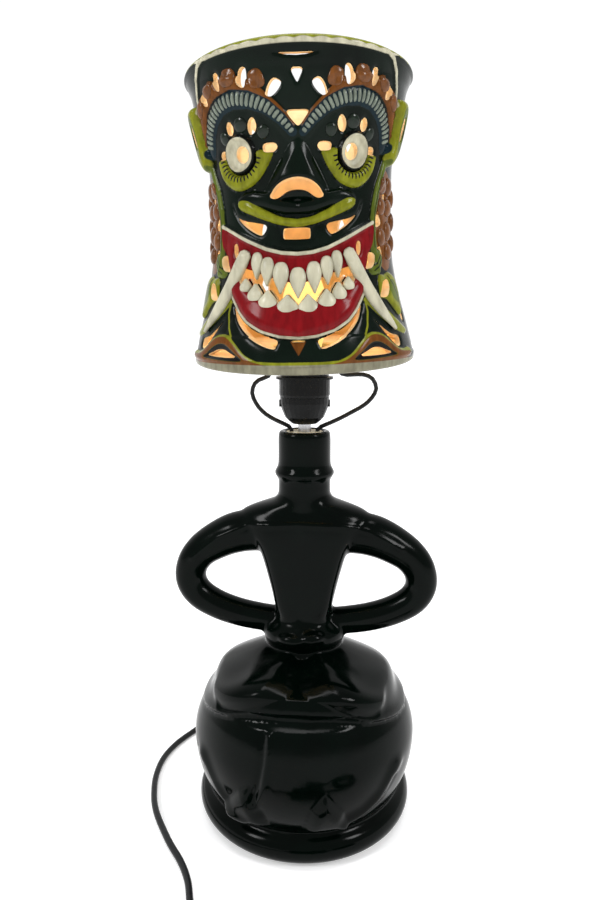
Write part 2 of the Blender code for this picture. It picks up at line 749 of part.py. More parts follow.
def make_cord():
    tube("inner_flex", INNER_ROUTE, CORD_RADIUS, "black_cord", 12, FIGURE_FRAME)
    turned(
        "cord_grommet",
        (
            (0, GROMMET_END - GAP),
            (3.3, GROMMET_END - GAP),
            (4.8, 90.0),
            (7.0, 88.6),
            (7.0, 86.6),
            (4.9, 86.6),
            (4.9, 66.6),
            (0, 66.6),
        ),
        "black_cord",
        FIGURE_FRAME @ at(z=CORD_HOLE_Z, turn=-90, axis="X"),
        steps=20,
    )
    tube("cord_run", CORD_ROUTE, CORD_RADIUS, "black_cord", 11)
    tube("cord_to_coil", COIL_LEAD, CORD_RADIUS, "black_cord", 5)
    tube("cord_to_plug", PLUG_LEAD, CORD_RADIUS, "black_cord", 5)
    low = GAP
    high = GAP + COIL_HEIGHT
    ring = ((COIL_OUTER, high), (COIL_OUTER, low), (COIL_INNER, low), (COIL_INNER, high))
    turned("cord_coil", ring, "black_cord", at(*COIL_CENTRE), steps=24)


SWITCH_LENGTH = 60.0
SWITCH_WIDTH = 27.0
SWITCH_WALL = 2.0
SWITCH_SPLIT = 9.0
SWITCH_TOP = 18.0
ROCKER_PIVOT_Z = 12.4


def make_switch():
    centre = at(*SWITCH_CENTRE)
    inside = (SWITCH_LENGTH - 2 * SWITCH_WALL, SWITCH_WIDTH - 2 * SWITCH_WALL)
    base = block(
        "switch_base",
        (SWITCH_LENGTH, SWITCH_WIDTH, SWITCH_SPLIT - GAP),
        (0, 0, (SWITCH_SPLIT + GAP) / 2),
        "black_plastic",
        centre,
    )
    cover = block(
        "switch_cover",
        (SWITCH_LENGTH, SWITCH_WIDTH, SWITCH_TOP - SWITCH_SPLIT - GAP),
        (0, 0, (SWITCH_TOP + SWITCH_SPLIT + GAP) / 2),
        "black_plastic",
        centre,
    )
    for half, low, high in ((base, 2.6, SWITCH_SPLIT + 1), (cover, SWITCH_SPLIT - 1, 15.6)):
        name = f"{half.name}_hollow"
        hollow = block(name, (*inside, high - low), (0, 0, (low + high) / 2), None, centre)
        boolean(half, hollow, "DIFFERENCE")
    slot = block("rocker_slot", (23.0, 10.6, 8.0), (0, 0, 17.0), None, centre)
    boolean(cover, slot, "DIFFERENCE")
    half_rocker = ((0, 5.2), (-8.6, 7), (-10.2, 5.6), (-10, 0.6), (-7, -3))
    rocker = [*half_rocker, *[(-x, z) for x, z in reversed(half_rocker[1:])]]
    pivot = centre @ at(z=ROCKER_PIVOT_Z, turn=90, axis="X") @ at(turn=5)
    outline("switch_rocker", rocker, 9.4, "black_plastic", pivot)
    start = SWITCH_LENGTH / 2 + GAP
    relief = ((0, start + 13.7), (3.2, start + 13.7), (5.6, start), (0, start))
    for side, sign in (("in", -1), ("out", 1)):
        block(f"switch_contact_{side}", (9, 5, 0.8), (sign * 16, 0, 3.3), "brass", centre)
        turn = at(*SWITCH_CENTRE, 7.6) @ at(turn=sign * 90, axis="Y")
        turned(f"switch_relief_{side}", relief, "black_plastic", turn, steps=16)


PLUG_NOSE_X = 4.0
PLUG_LENGTH = 36.0
PLUG_AXIS_Z = 7.6
PIN_SPACING = 18.6
PIN_LENGTH = 19.0


def make_plug():
    half = PLUG_LENGTH / 2
    shape = (
        (-half, -16.5),
        (-6, -17),
        (8, -10),
        (half, -7),
        (half, 7),
        (8, 10),
        (-6, 17),
        (-half, 16.5),
    )
    middle = at(PLUG_NOSE_X + half, PLUG_CENTRE_Y, PLUG_AXIS_Z)
    outline("plug_body", shape, 2 * (PLUG_AXIS_Z - GAP), "black_plastic", middle)
    start = PLUG_NOSE_X + PLUG_LENGTH + GAP
    turned(
        "plug_relief",
        ((0, 56.1), (3.2, 56.1), (5.8, start), (0, start)),
        "black_plastic",
        at(0, PLUG_CENTRE_Y, PLUG_AXIS_Z, 90, "Y"),
        steps=16,
    )
    tip = PLUG_NOSE_X - GAP - PIN_LENGTH
    for side, sign in (("front", -1), ("back", 1)):
        pin = at(0, PLUG_CENTRE_Y + sign * PIN_SPACING / 2, PLUG_AXIS_Z, 90, "Y")
        rod(f"plug_pin_{side}", 2.0, tip, PLUG_NOSE_X - GAP, "brass", pin, 12)


reset()
make_figure()
make_stopper()
make_holder()
make_carrier()
make_bulb()
make_shade()
make_cord()
make_switch()
make_plug()
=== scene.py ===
"""Visual model of a table lamp: a glazed ceramic figure base and a pierced, painted mask shade.

Lengths are in millimetres, except in the camera, the materials, the stage and the lights, which
are in metres. The shade's surface is described by u, the distance round it from the face's middle
at FLAT_RADIUS, and h, the height up its axis.
"""

import json
import math

import bmesh
import bpy
import numpy as np
from mathutils import Matrix, Vector

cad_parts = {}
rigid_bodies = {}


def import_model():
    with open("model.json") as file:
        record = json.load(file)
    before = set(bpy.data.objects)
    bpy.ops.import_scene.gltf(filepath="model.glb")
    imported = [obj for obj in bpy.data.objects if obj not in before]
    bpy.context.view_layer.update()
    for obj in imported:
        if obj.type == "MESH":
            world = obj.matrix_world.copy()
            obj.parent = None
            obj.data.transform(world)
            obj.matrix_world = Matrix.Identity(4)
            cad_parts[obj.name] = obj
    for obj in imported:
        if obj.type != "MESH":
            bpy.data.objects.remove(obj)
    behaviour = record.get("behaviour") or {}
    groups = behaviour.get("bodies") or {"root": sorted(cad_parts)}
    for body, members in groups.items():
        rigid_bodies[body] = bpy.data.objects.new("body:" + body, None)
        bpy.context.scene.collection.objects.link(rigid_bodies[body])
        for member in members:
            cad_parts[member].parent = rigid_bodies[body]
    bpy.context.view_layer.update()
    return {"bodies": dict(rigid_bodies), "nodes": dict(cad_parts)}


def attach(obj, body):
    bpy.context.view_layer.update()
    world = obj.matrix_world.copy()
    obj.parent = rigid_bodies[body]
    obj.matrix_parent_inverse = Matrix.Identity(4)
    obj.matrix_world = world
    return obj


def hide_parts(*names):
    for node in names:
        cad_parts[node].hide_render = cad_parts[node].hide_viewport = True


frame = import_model()

MM = 0.001
NODES = frame["nodes"]
SEAT_Z = 364.5
SHADE_TILT = 6.0
SHADE_LEAN = 1.4
FACE_TURN = -2.0
FIGURE_TURN = -5.0

FIGURE_FRAME = Matrix.Rotation(math.radians(FIGURE_TURN), 4, "Z")
SEAT_FRAME = (
    Matrix.Translation((0, 0, SEAT_Z * MM))
    @ Matrix.Rotation(math.radians(-SHADE_LEAN), 4, "Y")
    @ Matrix.Rotation(math.radians(SHADE_TILT), 4, "X")
)
FACE_FRAME = SEAT_FRAME @ Matrix.Rotation(math.radians(FACE_TURN), 4, "Z")


# ------------------------------------------------------------------------------ camera

CAMERA_M = (-0.0035, -0.5088, 0.381)
CAMERA_PITCH = -9.69
FOCAL_SHARE = 667 / 900  # focal length over the picture's long side


def make_camera():
    data = bpy.data.cameras.new("camera")
    data.sensor_width = 36.0
    data.lens = data.sensor_width * FOCAL_SHARE
    data.clip_start = 0.01
    camera = bpy.data.objects.new("camera", data)
    camera.location = CAMERA_M
    camera.rotation_euler = (math.radians(90 + CAMERA_PITCH), 0, 0)
    bpy.context.scene.collection.objects.link(camera)
    bpy.context.scene.camera = camera


# --------------------------------------------------------------------------- materials


def linear(r, g, b):
    """A colour given as 0 to 255 screen values, in the linear values that shaders use."""
    return tuple(
        v / 12.92 if v <= 0.04045 else ((v + 0.055) / 1.055) ** 2.4
        for v in (r / 255, g / 255, b / 255)
    )


class Shader:
    """A Principled material and short ways to add nodes to it."""

    def __init__(self, name, colour, roughness, metallic=0.0):
        self.material = bpy.data.materials.new(name)
        self.material.use_nodes = True
        self.tree = self.material.node_tree
        self.main = self.tree.nodes["Principled BSDF"]
        self.main.inputs["Base Color"].default_value = (*colour, 1)
        self.main.inputs["Roughness"].default_value = roughness
        self.main.inputs["Metallic"].default_value = metallic

    def shine(self, level):
        self.main.inputs["Specular IOR Level"].default_value = level

    def glow(self, colour, strength):
        self.main.inputs["Emission Color"].default_value = (*colour, 1)
        self.main.inputs["Emission Strength"].default_value = strength

    def node(self, kind, **settings):
        made = self.tree.nodes.new(kind)
        for key, value in settings.items():
            setattr(made, key, value)
        return made

    def link(self, source, target):
        self.tree.links.new(source, target)

    def noise(self, scale, detail=3.0, stretch=None):
        """Noise in the object's own metres, so it doesn't depend on UVs."""
        place = self.node("ShaderNodeTexCoord")
        texture = self.node("ShaderNodeTexNoise")
        texture.inputs["Scale"].default_value = scale
        texture.inputs["Detail"].default_value = detail
        where = place.outputs["Object"]
        if stretch:
            mapping = self.node("ShaderNodeMapping")
            mapping.inputs["Scale"].default_value = stretch
            self.link(where, mapping.inputs["Vector"])
            where = mapping.outputs["Vector"]
        self.link(where, texture.inputs["Vector"])
        return texture.outputs["Fac"]

    def ramp(self, value, low, high, out_low=0.0, out_high=1.0):
        span = self.node("ShaderNodeMapRange")
        ends = {"From Min": low, "From Max": high, "To Min": out_low, "To Max": out_high}
        for name, end in ends.items():
            span.inputs[name].default_value = end
        self.link(value, span.inputs["Value"])
        return span.outputs["Result"]

    def blend(self, factor, a, b):
        mix = self.node("ShaderNodeMix", data_type="RGBA")
        self.link(factor, mix.inputs["Factor"])
        for value, socket in ((a, mix.inputs["A"]), (b, mix.inputs["B"])):
            if isinstance(value, tuple):
                socket.default_value = (*value, 1)
            else:
                self.link(value, socket)
        return mix.outputs["Result"]

    def attribute(self, name):
        return self.node("ShaderNodeAttribute", attribute_name=name).outputs["Fac"]

    def paint(self, colour):
        self.link(colour, self.main.inputs["Base Color"])

    def mottle(self, scale, low, high):
        """Colour varied between two shades by noise."""
        self.paint(self.blend(self.ramp(self.noise(scale), 0.3, 0.7), low, high))

    def rough(self, value):
        self.link(value, self.main.inputs["Roughness"])

    def bump(self, value, distance, strength=1.0):
        node = self.node("ShaderNodeBump")
        node.inputs["Strength"].default_value = strength
        node.inputs["Distance"].default_value = distance
        self.link(value, node.inputs["Height"])
        self.link(node.outputs["Normal"], self.main.inputs["Normal"])


def times(colour, factor):
    return tuple(v * factor for v in colour)


def plain(name, colour, roughness, grain=900.0, depth=0.00004, spread=0.25, shine=0.5):
    """A finish with a fine grain, slight colour variation and uneven gloss."""
    made = Shader(name, colour, roughness)
    made.shine(shine)
    made.mottle(grain / 12, times(colour, 1 - spread), times(colour, 1 + spread))
    made.rough(made.ramp(made.noise(grain / 5), 0.3, 0.7, roughness * 0.8, roughness * 1.25))
    made.bump(made.noise(grain), depth)
    return made.material


def glaze(name, colour, roughness, shine):
    """Glossy glaze with the faint waviness of a hand-dipped piece."""
    made = Shader(name, colour, roughness)
    made.mottle(38.0, times(colour, 0.7), times(colour, 1.35))
    made.rough(made.ramp(made.noise(60.0), 0.35, 0.75, roughness, roughness * 2.2))
    made.bump(made.noise(45.0, 1.0), 0.00035, 0.35)
    made.shine(shine)
    return made.material


COLOURS = {
    "face": linear(4, 13, 7),
    "brown": linear(96, 55, 18),
    "leaf": linear(112, 115, 24),
    "cream": linear(172, 168, 146),
    # the bottom band's cream, painted darker as shade on the shade's underside
    "shaded_cream": linear(120, 117, 98),
    "red": linear(108, 12, 17),
    "line": linear(10, 12, 10),
    "teal": linear(14, 30, 36),
    "olive": linear(76, 88, 26),
}
PAINTS = ("leaf", "brown", "olive", "teal", "red", "cream", "shaded_cream", "line")
PAINT_EDGE = 0.22  # how far a colour fades either side of its outline, in millimetres


def mask_glaze():
    """Base black-green glaze, with each painted colour inside its outline."""
    base = COLOURS["face"]
    made = Shader("mask_glaze", base, 0.14)
    pools = made.ramp(made.noise(30.0), 0.35, 0.7)
    colour = made.blend(pools, times(base, 0.6), times(base, 1.5))
    strokes = made.ramp(made.noise(260.0, 4.0, (1.0, 1.0, 0.35)), 0.3, 0.7)
    for name in PAINTS:
        shaded = made.blend(strokes, times(COLOURS[name], 0.72), times(COLOURS[name], 1.18))
        inside = made.ramp(made.attribute(name), PAINT_EDGE, -PAINT_EDGE)
        colour = made.blend(inside, colour, shaded)
    made.paint(colour)
    made.rough(made.ramp(made.noise(70.0), 0.35, 0.75, 0.12, 0.26))
    made.bump(made.noise(60.0, 2.0), 0.0004, 0.35)
    made.shine(0.1)
    return made.material


def bare_clay():
    """The shade's unpainted inside: pale unglazed ceramic that glows in the bulb's light."""
    tone = linear(240, 208, 156)
    made = Shader("shade_inside", tone, 0.55)
    made.mottle(90.0, times(tone, 0.82), times(tone, 1.08))
    made.bump(made.noise(260.0), 0.0003, 0.5)
    return made.material


def metal(name, colour, roughness, stretch=(1.0, 1.0, 14.0)):
    made = Shader(name, colour, roughness, 1.0)
    made.mottle(150.0, times(colour, 0.85), times(colour, 1.1))
    made.rough(made.ramp(made.noise(420.0, 2.0, stretch), 0.3, 0.7, roughness * 0.7, roughness * 1.4))
    made.bump(made.noise(900.0, 2.0, stretch), 0.00003, 0.4)
    return made.material


def bulb_glass():
    """Frosted glass that is lit all over."""
    made = Shader("bulb_glass", (0.5, 0.36, 0.16), 0.3)
    made.mottle(120.0, (0.46, 0.3, 0.12), (0.5, 0.36, 0.18))
    made.glow((1.0, 0.80, 0.24), 0.9)
    return made.material


def hot_wire():
    colour = (1.0, 0.62, 0.26)
    made = Shader("filament", colour, 0.4)
    made.glow(colour, 40.0)
    made.mottle(400.0, times(colour, 0.9), colour)
    return made.material


def make_materials():
    return {
        "black_glaze": glaze("black_glaze", linear(1, 5, 3), 0.1, 0.07),
        "mask_glaze": mask_glaze(),
        "shade_inside": bare_clay(),
        "felt": plain("felt", linear(30, 52, 40), 0.95, 2600.0, 0.0004),
        "stopper": plain("stopper", linear(206, 200, 176), 0.6, 700.0, 0.0001, 0.1),
        "steel": metal("steel", (0.58, 0.58, 0.6), 0.32),
        "brass": metal("brass", (0.75, 0.55, 0.26), 0.28),
        "plastic": plain("black_plastic", linear(6, 7, 7), 0.3, 1500.0, 0.00003, 0.25, 0.14),
        "wire": plain("black_wire", linear(20, 22, 23), 0.34, 1200.0, 0.00004, 0.25, 0.2),
        "cord": plain("black_cord", linear(16, 17, 19), 0.42, 1600.0, 0.00004, 0.25, 0.25),
        "ceramic": plain("white_ceramic", linear(222, 220, 208), 0.45, 600.0, 0.00006, 0.06),
        "silicone": plain("silicone", linear(190, 184, 168), 0.6, 500.0, 0.00006, 0.08),
        "glass": bulb_glass(),
        "filament": hot_wire(),
        "teeth": tooth_glaze(),
        "ribs": glazed_paint("rib_grey", linear(104, 112, 100)),
        "brown": glazed_paint("brown_glaze", COLOURS["brown"]),
        "dark": glazed_paint("dark_glaze", linear(12, 24, 14)),
        "tie": plain("cable_tie", linear(28, 29, 30), 0.5, 800.0, 0.00005),
    }


def glazed_paint(name, colour):
    """Brushed-on colour under a clear glaze, darker where it has pooled."""
    made = Shader(name, colour, 0.16)
    strokes = made.ramp(made.noise(300.0, 4.0, (1.0, 1.0, 0.4)), 0.25, 0.75)
    made.paint(made.blend(strokes, times(colour, 0.55), times(colour, 1.3)))
    made.rough(made.ramp(made.noise(80.0), 0.35, 0.75, 0.12, 0.28))
    made.bump(made.noise(140.0, 2.0), 0.0003, 0.4)
    made.shine(0.25)
    return made.material


def tooth_glaze():
    tone = linear(176, 172, 150)
    made = Shader("tooth_glaze", tone, 0.22)
    streaks = made.ramp(made.noise(160.0, 3.0, (1.0, 1.0, 0.3)), 0.3, 0.7)
    made.paint(made.blend(streaks, times(tone, 0.74), times(tone, 1.12)))
    made.rough(made.ramp(made.noise(90.0), 0.3, 0.7, 0.16, 0.34))
    made.bump(made.noise(200.0, 2.0), 0.0002, 0.4)
    made.shine(0.25)
    return made.material


# --------------------------------------------------------------------- shared geometry


def link(obj):
    bpy.context.scene.collection.objects.link(obj)
    return obj


def mesh_piece(name, points, faces, materials):
    """A smooth mesh object from points in millimetres."""
    data = bpy.data.meshes.new(name)
    data.from_pydata([tuple(p) for p in np.asarray(points, float) * MM], [], faces)
    for material in materials:
        data.materials.append(material)
    data.validate()
    data.shade_smooth()
    return link(bpy.data.objects.new(name, data))


def face_outwards(piece):
    """Turns every face of a closed body to look outwards."""
    shape = bmesh.new()
    shape.from_mesh(piece.data)
    bmesh.ops.recalc_face_normals(shape, faces=shape.faces)
    shape.to_mesh(piece.data)
    shape.free()


def ring_faces(rings, around, closed=False, inward=False):
    """Quads between rings of points, where a closed row of rings ends on its first."""
    found = []
    for ring in range(rings if closed else rings - 1):
        low, high = ring * around, (ring + 1) % rings * around
        for k in range(around):
            j = (k + 1) % around
            quad = (low + k, low + j, high + j, high + k)
            found.append((quad[0], *quad[:0:-1]) if inward else quad)
    return found


def bent(value, power):
    """A sine or cosine raised to a power with its sign kept, for squared-off ovals."""
    return math.copysign(abs(value) ** power, value)


def on_curve(a, b, c, d, t):
    """The point at t, from 0 at b to 1 at c, on a Catmull-Rom curve through four points."""
    return 0.5 * (
        2 * b
        + (c - a) * t
        + (2 * a - 5 * b + 4 * c - d) * t**2
        + (3 * b - a - 3 * c + d) * t**3
    )


def catmull(points, pieces):
    """Points on a smooth curve through the given ones, a number of pieces to each span."""
    points = [Vector(p) for p in points]
    ends = [2 * points[0] - points[1], *points, 2 * points[-1] - points[-2]]
    line = []
    for span in zip(ends, ends[1:], ends[2:], ends[3:]):
        line += [on_curve(*span, k / pieces) for k in range(pieces)]
    return [*line, points[-1]]


def closed_curve(points, pieces=4):
    """A smooth closed outline through a few points."""
    count = len(points)
    line = []
    for k in range(count):
        span = [np.array(points[(k + i - 1) % count], float) for i in range(4)]
        line += [tuple(on_curve(*span, i / pieces)) for i in range(pieces)]
    return line


def circle(centre, radius, corners):
    """A closed outline round a centre."""
    turns = [math.tau * k / corners for k in range(corners)]
    return [(centre[0] + radius * math.cos(t), centre[1] + radius * math.sin(t)) for t in turns]


def tube(name, line, radius, material, sides=6):
    """A round bar along points in millimetres."""
    data = bpy.data.curves.new(name, "CURVE")
    data.dimensions = "3D"
    data.bevel_depth = radius * MM
    data.bevel_resolution = sides
    data.use_fill_caps = True
    spline = data.splines.new("POLY")
    spline.points.add(len(line) - 1)
    for point, where in zip(spline.points, line):
        point.co = (*(Vector(where) * MM), 1.0)
    spline.use_smooth = True
    data.materials.append(material)
    return link(bpy.data.objects.new(name, data))


# ------------------------------------------------------------------------------- cords

CORD_RADIUS = 2.5
CORD_ROUTE = (
    (9.79, 111.9, 13),
    (10.9, 124, 12.2),
    (11, 137, 9.6),
    (6, 149, 6.2),
    (-8, 158, 3.4),
    (-27, 159, 2.8),
    (-50, 149, 2.8),
    (-72, 130, 2.8),
    (-90, 107, 2.8),
    (-104.9, 86.4, 2.8),
    (-119, 65, 2.8),
    (-127, 44, 2.8),
    (-129.2, 22, 2.8),
    (-127, 0, 2.8),
    (-120, -26, 2.8),
    (-104.1, -57.7, 2.8),
    (-90.5, -79.5, 2.8),
    (-82.5, -97, 2.8),
    (-78.2, -114, 2.8),
    (-73, -131, 2.8),
    (-62, -145, 3.4),
    (-52, -151, 5.8),
    (-44.5, -153.4, 7.5),
    (-38.4, -153.5, 7.6),
)
COIL_CENTRE = (98.0, -172.0)
COIL_LEAD = (
    (50.4, -153.5, 7.6),
    (55, -153.3, 7.3),
    (60, -152.2, 5.4),
    (66, -149.4, 3.8),
    (74, -145.6, 2.9),
    (85, -141.0, 2.8),
)
# turns made, radius of the turn and height, from where the coil begins
COIL_KEYS = (
    (0.0, 32.5, 2.8),
    (2.0, 22.0, 2.8),
    (2.35, 22.0, 7.8),
    (4.2, 31.7, 7.8),
    (4.55, 32.0, 12.8),
    (6.0, 24.4, 12.8),
    (6.15, 25.6, 15.6),
    (6.3, 29.5, 17.8),
    (6.45, 33.5, 17.2),
)
PLUG_LEAD = (
    (84, -204.4, 14.0),
    (74, -201.8, 10.8),
    (66, -198.2, 9.2),
    (61, -195.8, 7.9),
    (56.4, -195.5, 7.6),
)
STEPS_PER_TURN = 40


def coil_points():
    turns, radii, heights = zip(*COIL_KEYS)
    count = round(turns[-1] * STEPS_PER_TURN)
    points = []
    for k in range(count + 1):
        t = turns[-1] * k / count
        angle = math.pi / 2 - math.tau * t
        r = float(np.interp(t, turns, radii))
        z = float(np.interp(t, turns, heights))
        x, y = COIL_CENTRE[0] + r * math.cos(angle), COIL_CENTRE[1] + r * math.sin(angle)
        points.append(Vector((x, y, z)))
    return points


def smoothed(line, times_over):
    """The line with its middle points eased towards their neighbours."""
    for _ in range(times_over):
        inner = [(a + 2 * b + c) / 4 for a, b, c in zip(line, line[1:], line[2:])]
        line = [line[0], *inner, line[-1]]
    return line


def make_cords():
    run = catmull(CORD_ROUTE, 5)
    flex = tube("flex_to_switch", run, CORD_RADIUS, MAT["cord"])
    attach(flex, "lamp_base")
    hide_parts("cord_run")
    coil = coil_points()
    lead = catmull([*COIL_LEAD, coil[0]], 4)
    tail = catmull([coil[-1], *PLUG_LEAD], 4)
    line = smoothed([*lead[:-1], *coil, *tail[1:]], 6)
    spare = tube("flex_to_plug", line, CORD_RADIUS, MAT["cord"])
    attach(spare, "lamp_base")
    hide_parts("cord_to_coil", "cord_coil", "cord_to_plug")
    tie = coil_tie()


TIE_STEPS = 32
TIE_HALF_WIDTH = 2.2
TIE_THICKNESS = 1.0
# the tie's loop round the coil: its radius on the near and far side, and its bottom and top
TIE_RADII = (18.4, 36.4)
TIE_HEIGHTS = (0.2, 16.2)
TIE_LOWEST = 0.1


def coil_tie():
    """A flat tie round the coil, on its right side."""
    (inner, outer), (low, high) = TIE_RADII, TIE_HEIGHTS
    corners = ((-1, 0.0), (1, 0.0), (1, TIE_THICKNESS), (-1, TIE_THICKNESS))
    points = []
    for k in range(TIE_STEPS):
        a = math.tau * k / TIE_STEPS
        c, s = math.cos(a), math.sin(a)
        r = (inner + outer) / 2 + (outer - inner) / 2 * bent(c, 0.5)
        z = (low + high) / 2 + (high - low) / 2 * bent(s, 0.5)
        for side, grow in corners:
            x = COIL_CENTRE[0] + r + grow * c
            points.append((x, COIL_CENTRE[1] + side * TIE_HALF_WIDTH, max(z + grow * s, TIE_LOWEST)))
    tie = mesh_piece("coil_tie", points, ring_faces(TIE_STEPS, 4, True, True), [MAT["tie"]])
    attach(tie, "lamp_base")
    return tie


# ------------------------------------------------------------------------- figure base

# round rings of the foot and belly, and of the neck with its mouth: height, radius
FOOT_RINGS = (
    (1.8, 77), (3.2, 82), (8, 85.6), (14, 86), (20, 83), (23.6, 77.6), (30, 80.8), (42, 85.4),
    (56, 88.3), (70, 89),
)
NECK_RINGS = (
    (266, 20.2), (272.8, 20.4), (275, 22.6), (277.2, 23.4), (279.6, 22.4), (282, 20.6), (308.6, 20),
    (310, 18.6), (310, 15.4), (308.8, 14.3), (281, 14.3),
)
# the rings between: height, half width, half depth, squareness (2 is an ellipse), and saddle,
# which is how far the middle of the front is above that height, and the sides and back below it
BODY_RINGS = (
    (82, 87, 87.2, 2, 2),
    (93, 83.6, 83, 2, 5),
    (102.4, 80.4, 76.5, 2, 10),
    (103.6, 82.6, 78.8, 2.1, 10.2),
    (107, 80.6, 79.4, 2.1, 10.2),
    (114, 75.4, 76.6, 2.2, 11.5),
    (117.6, 73.6, 73.6, 2.2, 11.5),
    (123.6, 70.6, 61, 2.1, 9),
    (127, 66, 50, 2, 6.5),
    (130.6, 55, 42, 2, 4.5),
    (135, 38.5, 32, 2, 1.5),
    (138.6, 30, 28, 2, 0),
    (141.5, 31.6, 29.4, 2, 0),
    (146.5, 32.6, 31, 2, 0),
    (152, 31.4, 30.2, 2, 0),
    (157, 25.6, 26.2, 2.1, 0),
    (160, 21.6, 22.6, 2.5, 0),
    (172, 23, 21.6, 3.6, 0),
    (186, 26, 22.2, 3.6, 0),
    (200, 29.6, 23, 3.6, 0),
    (213, 33.4, 23.8, 3.6, 0),
    (224, 38.4, 24.4, 3.6, 0),
    (232, 46, 24.4, 2.8, 0),
    (239, 50, 23.8, 2.4, 0),
    (245, 50, 21.4, 2.2, 0),
    (249, 44, 20.6, 2, 0),
    (253, 33, 20.4, 2, 0),
    (256, 24, 20.3, 2, 0),
    (260, 20.6, 20.2, 2, 0),
)
RING_STEP = 2.0
RING_POINTS = 144
ARM_LINE = (
    (24, 229), (40, 229.4), (56, 226.4), (71, 219.4), (83.4, 210.6), (91, 199), (92, 186),
    (85, 174.6), (71, 166), (55, 160.4), (38, 157), (20, 155),
)
ARM_RADIUS = 11.6
ARM_SCALES = (1.46, 1.46, 1.42, 1.3, 1.17, 1.1, 1.07, 1.04, 1.0, 0.98, 0.96, 0.92)
FIGURE_VOXEL = 1.35


def round_rings(rings):
    return [(z, r, r, 2, 0) for z, r in rings]


def lofted(name, sections, around):
    """A closed body through rings, which may be squared off and saddle-shaped."""
    points = []
    for z, wide, deep, square, saddle in sections:
        for k in range(around):
            angle = math.tau * k / around
            c, s = math.cos(angle), math.sin(angle)
            lower = saddle * (math.cos(2 * angle) if s < 0 else 1)
            points.append((wide * bent(c, 2 / square), deep * bent(s, 2 / square), z - lower))
    faces = ring_faces(len(sections), around)
    last = (len(sections) - 1) * around
    faces.append(tuple(reversed(range(around))))
    faces.append(tuple(range(last, last + around)))
    return mesh_piece(name, points, faces, [])


SHARP_SPAN = 1.5  # rings nearer than this, or turning back, are joined by a straight wall


def refined(sections, step):
    """Sections on smooth curves through the given ones, closer together."""
    found = []
    rows = [np.array(s, float) for s in sections]
    for a, b, c, d in zip([rows[0], *rows], rows, rows[1:], [*rows[2:], rows[-1]]):
        rise = c[0] - b[0]
        count = max(1, round(rise / step))
        m0 = (c - a) / max(c[0] - a[0], 0.1) * rise
        m1 = (d - b) / max(d[0] - b[0], 0.1) * rise
        for i in range(count):
            t = i / count
            point = b + (c - b) * t
            if rise >= SHARP_SPAN:
                point = (
                    (2 * t**3 - 3 * t**2 + 1) * b
                    + (t**3 - 2 * t**2 + t) * m0
                    + (3 * t**2 - 2 * t**3) * c
                    + (t**3 - t**2) * m1
                )
                point[0] = b[0] + rise * t
            found.append(point)
    return [*found, rows[-1]]


def apply_modifiers(obj):
    bpy.context.view_layer.update()
    depsgraph = bpy.context.evaluated_depsgraph_get()
    data = bpy.data.meshes.new_from_object(obj.evaluated_get(depsgraph))
    obj.modifiers.clear()
    if obj.type == "MESH":
        obj.data = data
    return data


def as_mesh(curve):
    """A mesh object in place of a curve object."""
    data = apply_modifiers(curve)
    name = curve.name
    bpy.data.objects.remove(curve)
    return link(bpy.data.objects.new(name, data))


def segment_distance(x, y, points):
    """Distance to a polyline, and how far along it the nearest point is, from 0 to 1."""
    best = np.full_like(x, 1e9)
    along = np.zeros_like(x)
    spans = len(points) - 1
    for k, (a, b) in enumerate(zip(points, points[1:])):
        dx, dy = b[0] - a[0], b[1] - a[1]
        t = np.clip(((x - a[0]) * dx + (y - a[1]) * dy) / (dx * dx + dy * dy), 0, 1)
        d = np.hypot(x - a[0] - t * dx, y - a[1] - t * dy)
        nearer = d < best
        best = np.where(nearer, d, best)
        along = np.where(nearer, (k + t) / spans, along)
    return best, along


FRONT_Y = -8.0  # only the skin in front of this is carved
# Folds on the belly: a line (x, z) on the front, its half width, and how far it stands out
BELLY_FOLDS = (
    (((-22, 101), (-23, 84), (-26, 66), (-30, 52)), 2.2, -1.2),
    (((-18, 101), (-19, 84), (-22, 66), (-27, 50)), 3.4, 1.6),
    (((-73, 66), (-64, 50), (-50, 38), (-36, 33)), 4.4, 2.6),
    (((-71, 58), (-61, 43), (-48, 32)), 2.6, -1.6),
    (((73, 66), (64, 50), (50, 39), (36, 34)), 4.4, 2.6),
    (((71, 58), (61, 43), (48, 33)), 2.6, -1.6),
)
BELLY_SPAN = (24.5, 103.0)  # the folds fade out at the lower end, and stop at the upper one
FOLD_FADE = 7.0
LAP_RIDGES = (
    (((-10, 136), (-36, 127), (-64, 113)), 3.4, 3.0),
    (((12, 137), (35, 127.5), (60, 114)), 3.4, 3.0),
)
# the flat front of the lap, set back between the two ridges
LAP_SPAN = (100.0, 140.0)
LAP_PLANE = ((0, 139), (-20, 131), (-62, 110), (-62, 104), (60, 104), (60, 110), (20, 131.6))
LAP_DEPTH = 4.2
LAP_EDGE = 6.0
FEET = (
    (((-57, 29), (-18, 29), (-22, 40), (-33, 64), (-41, 58), (-51, 44)), 5.5),
    (((5, 29), (39, 29), (35, 46), (22, 64), (12, 52)), 5.5),
)
KNUCKLES = ((-9.5, 149.5), (8.5, 151.5))
KNUCKLE_SIZE = (8.0, 4.2)
KNUCKLE_RISE = 3.0
KNUCKLE_SPAN = (138.0, 160.0)
FOOT_EDGE = 9.0  # the feet reach their full height this far inside their outline
# the crease down the chest: its place, half width, depth, and lowest and highest point
CREASE_X = -3.0
CREASE_HALF = 1.6
CREASE_DEPTH = 0.5
CREASE_SPAN = (164.0, 236.0)
SHOULDER_LINE = ((-88, 208), (-67, 226.6), (-42, 238), (-3.5, 241), (31, 239.5), (52, 234), (76, 220))
SHOULDER_HALF = 1.7
SHOULDER_RISE = 1.3
FOOT_LEVEL = 1.8  # nothing is carved lower than this


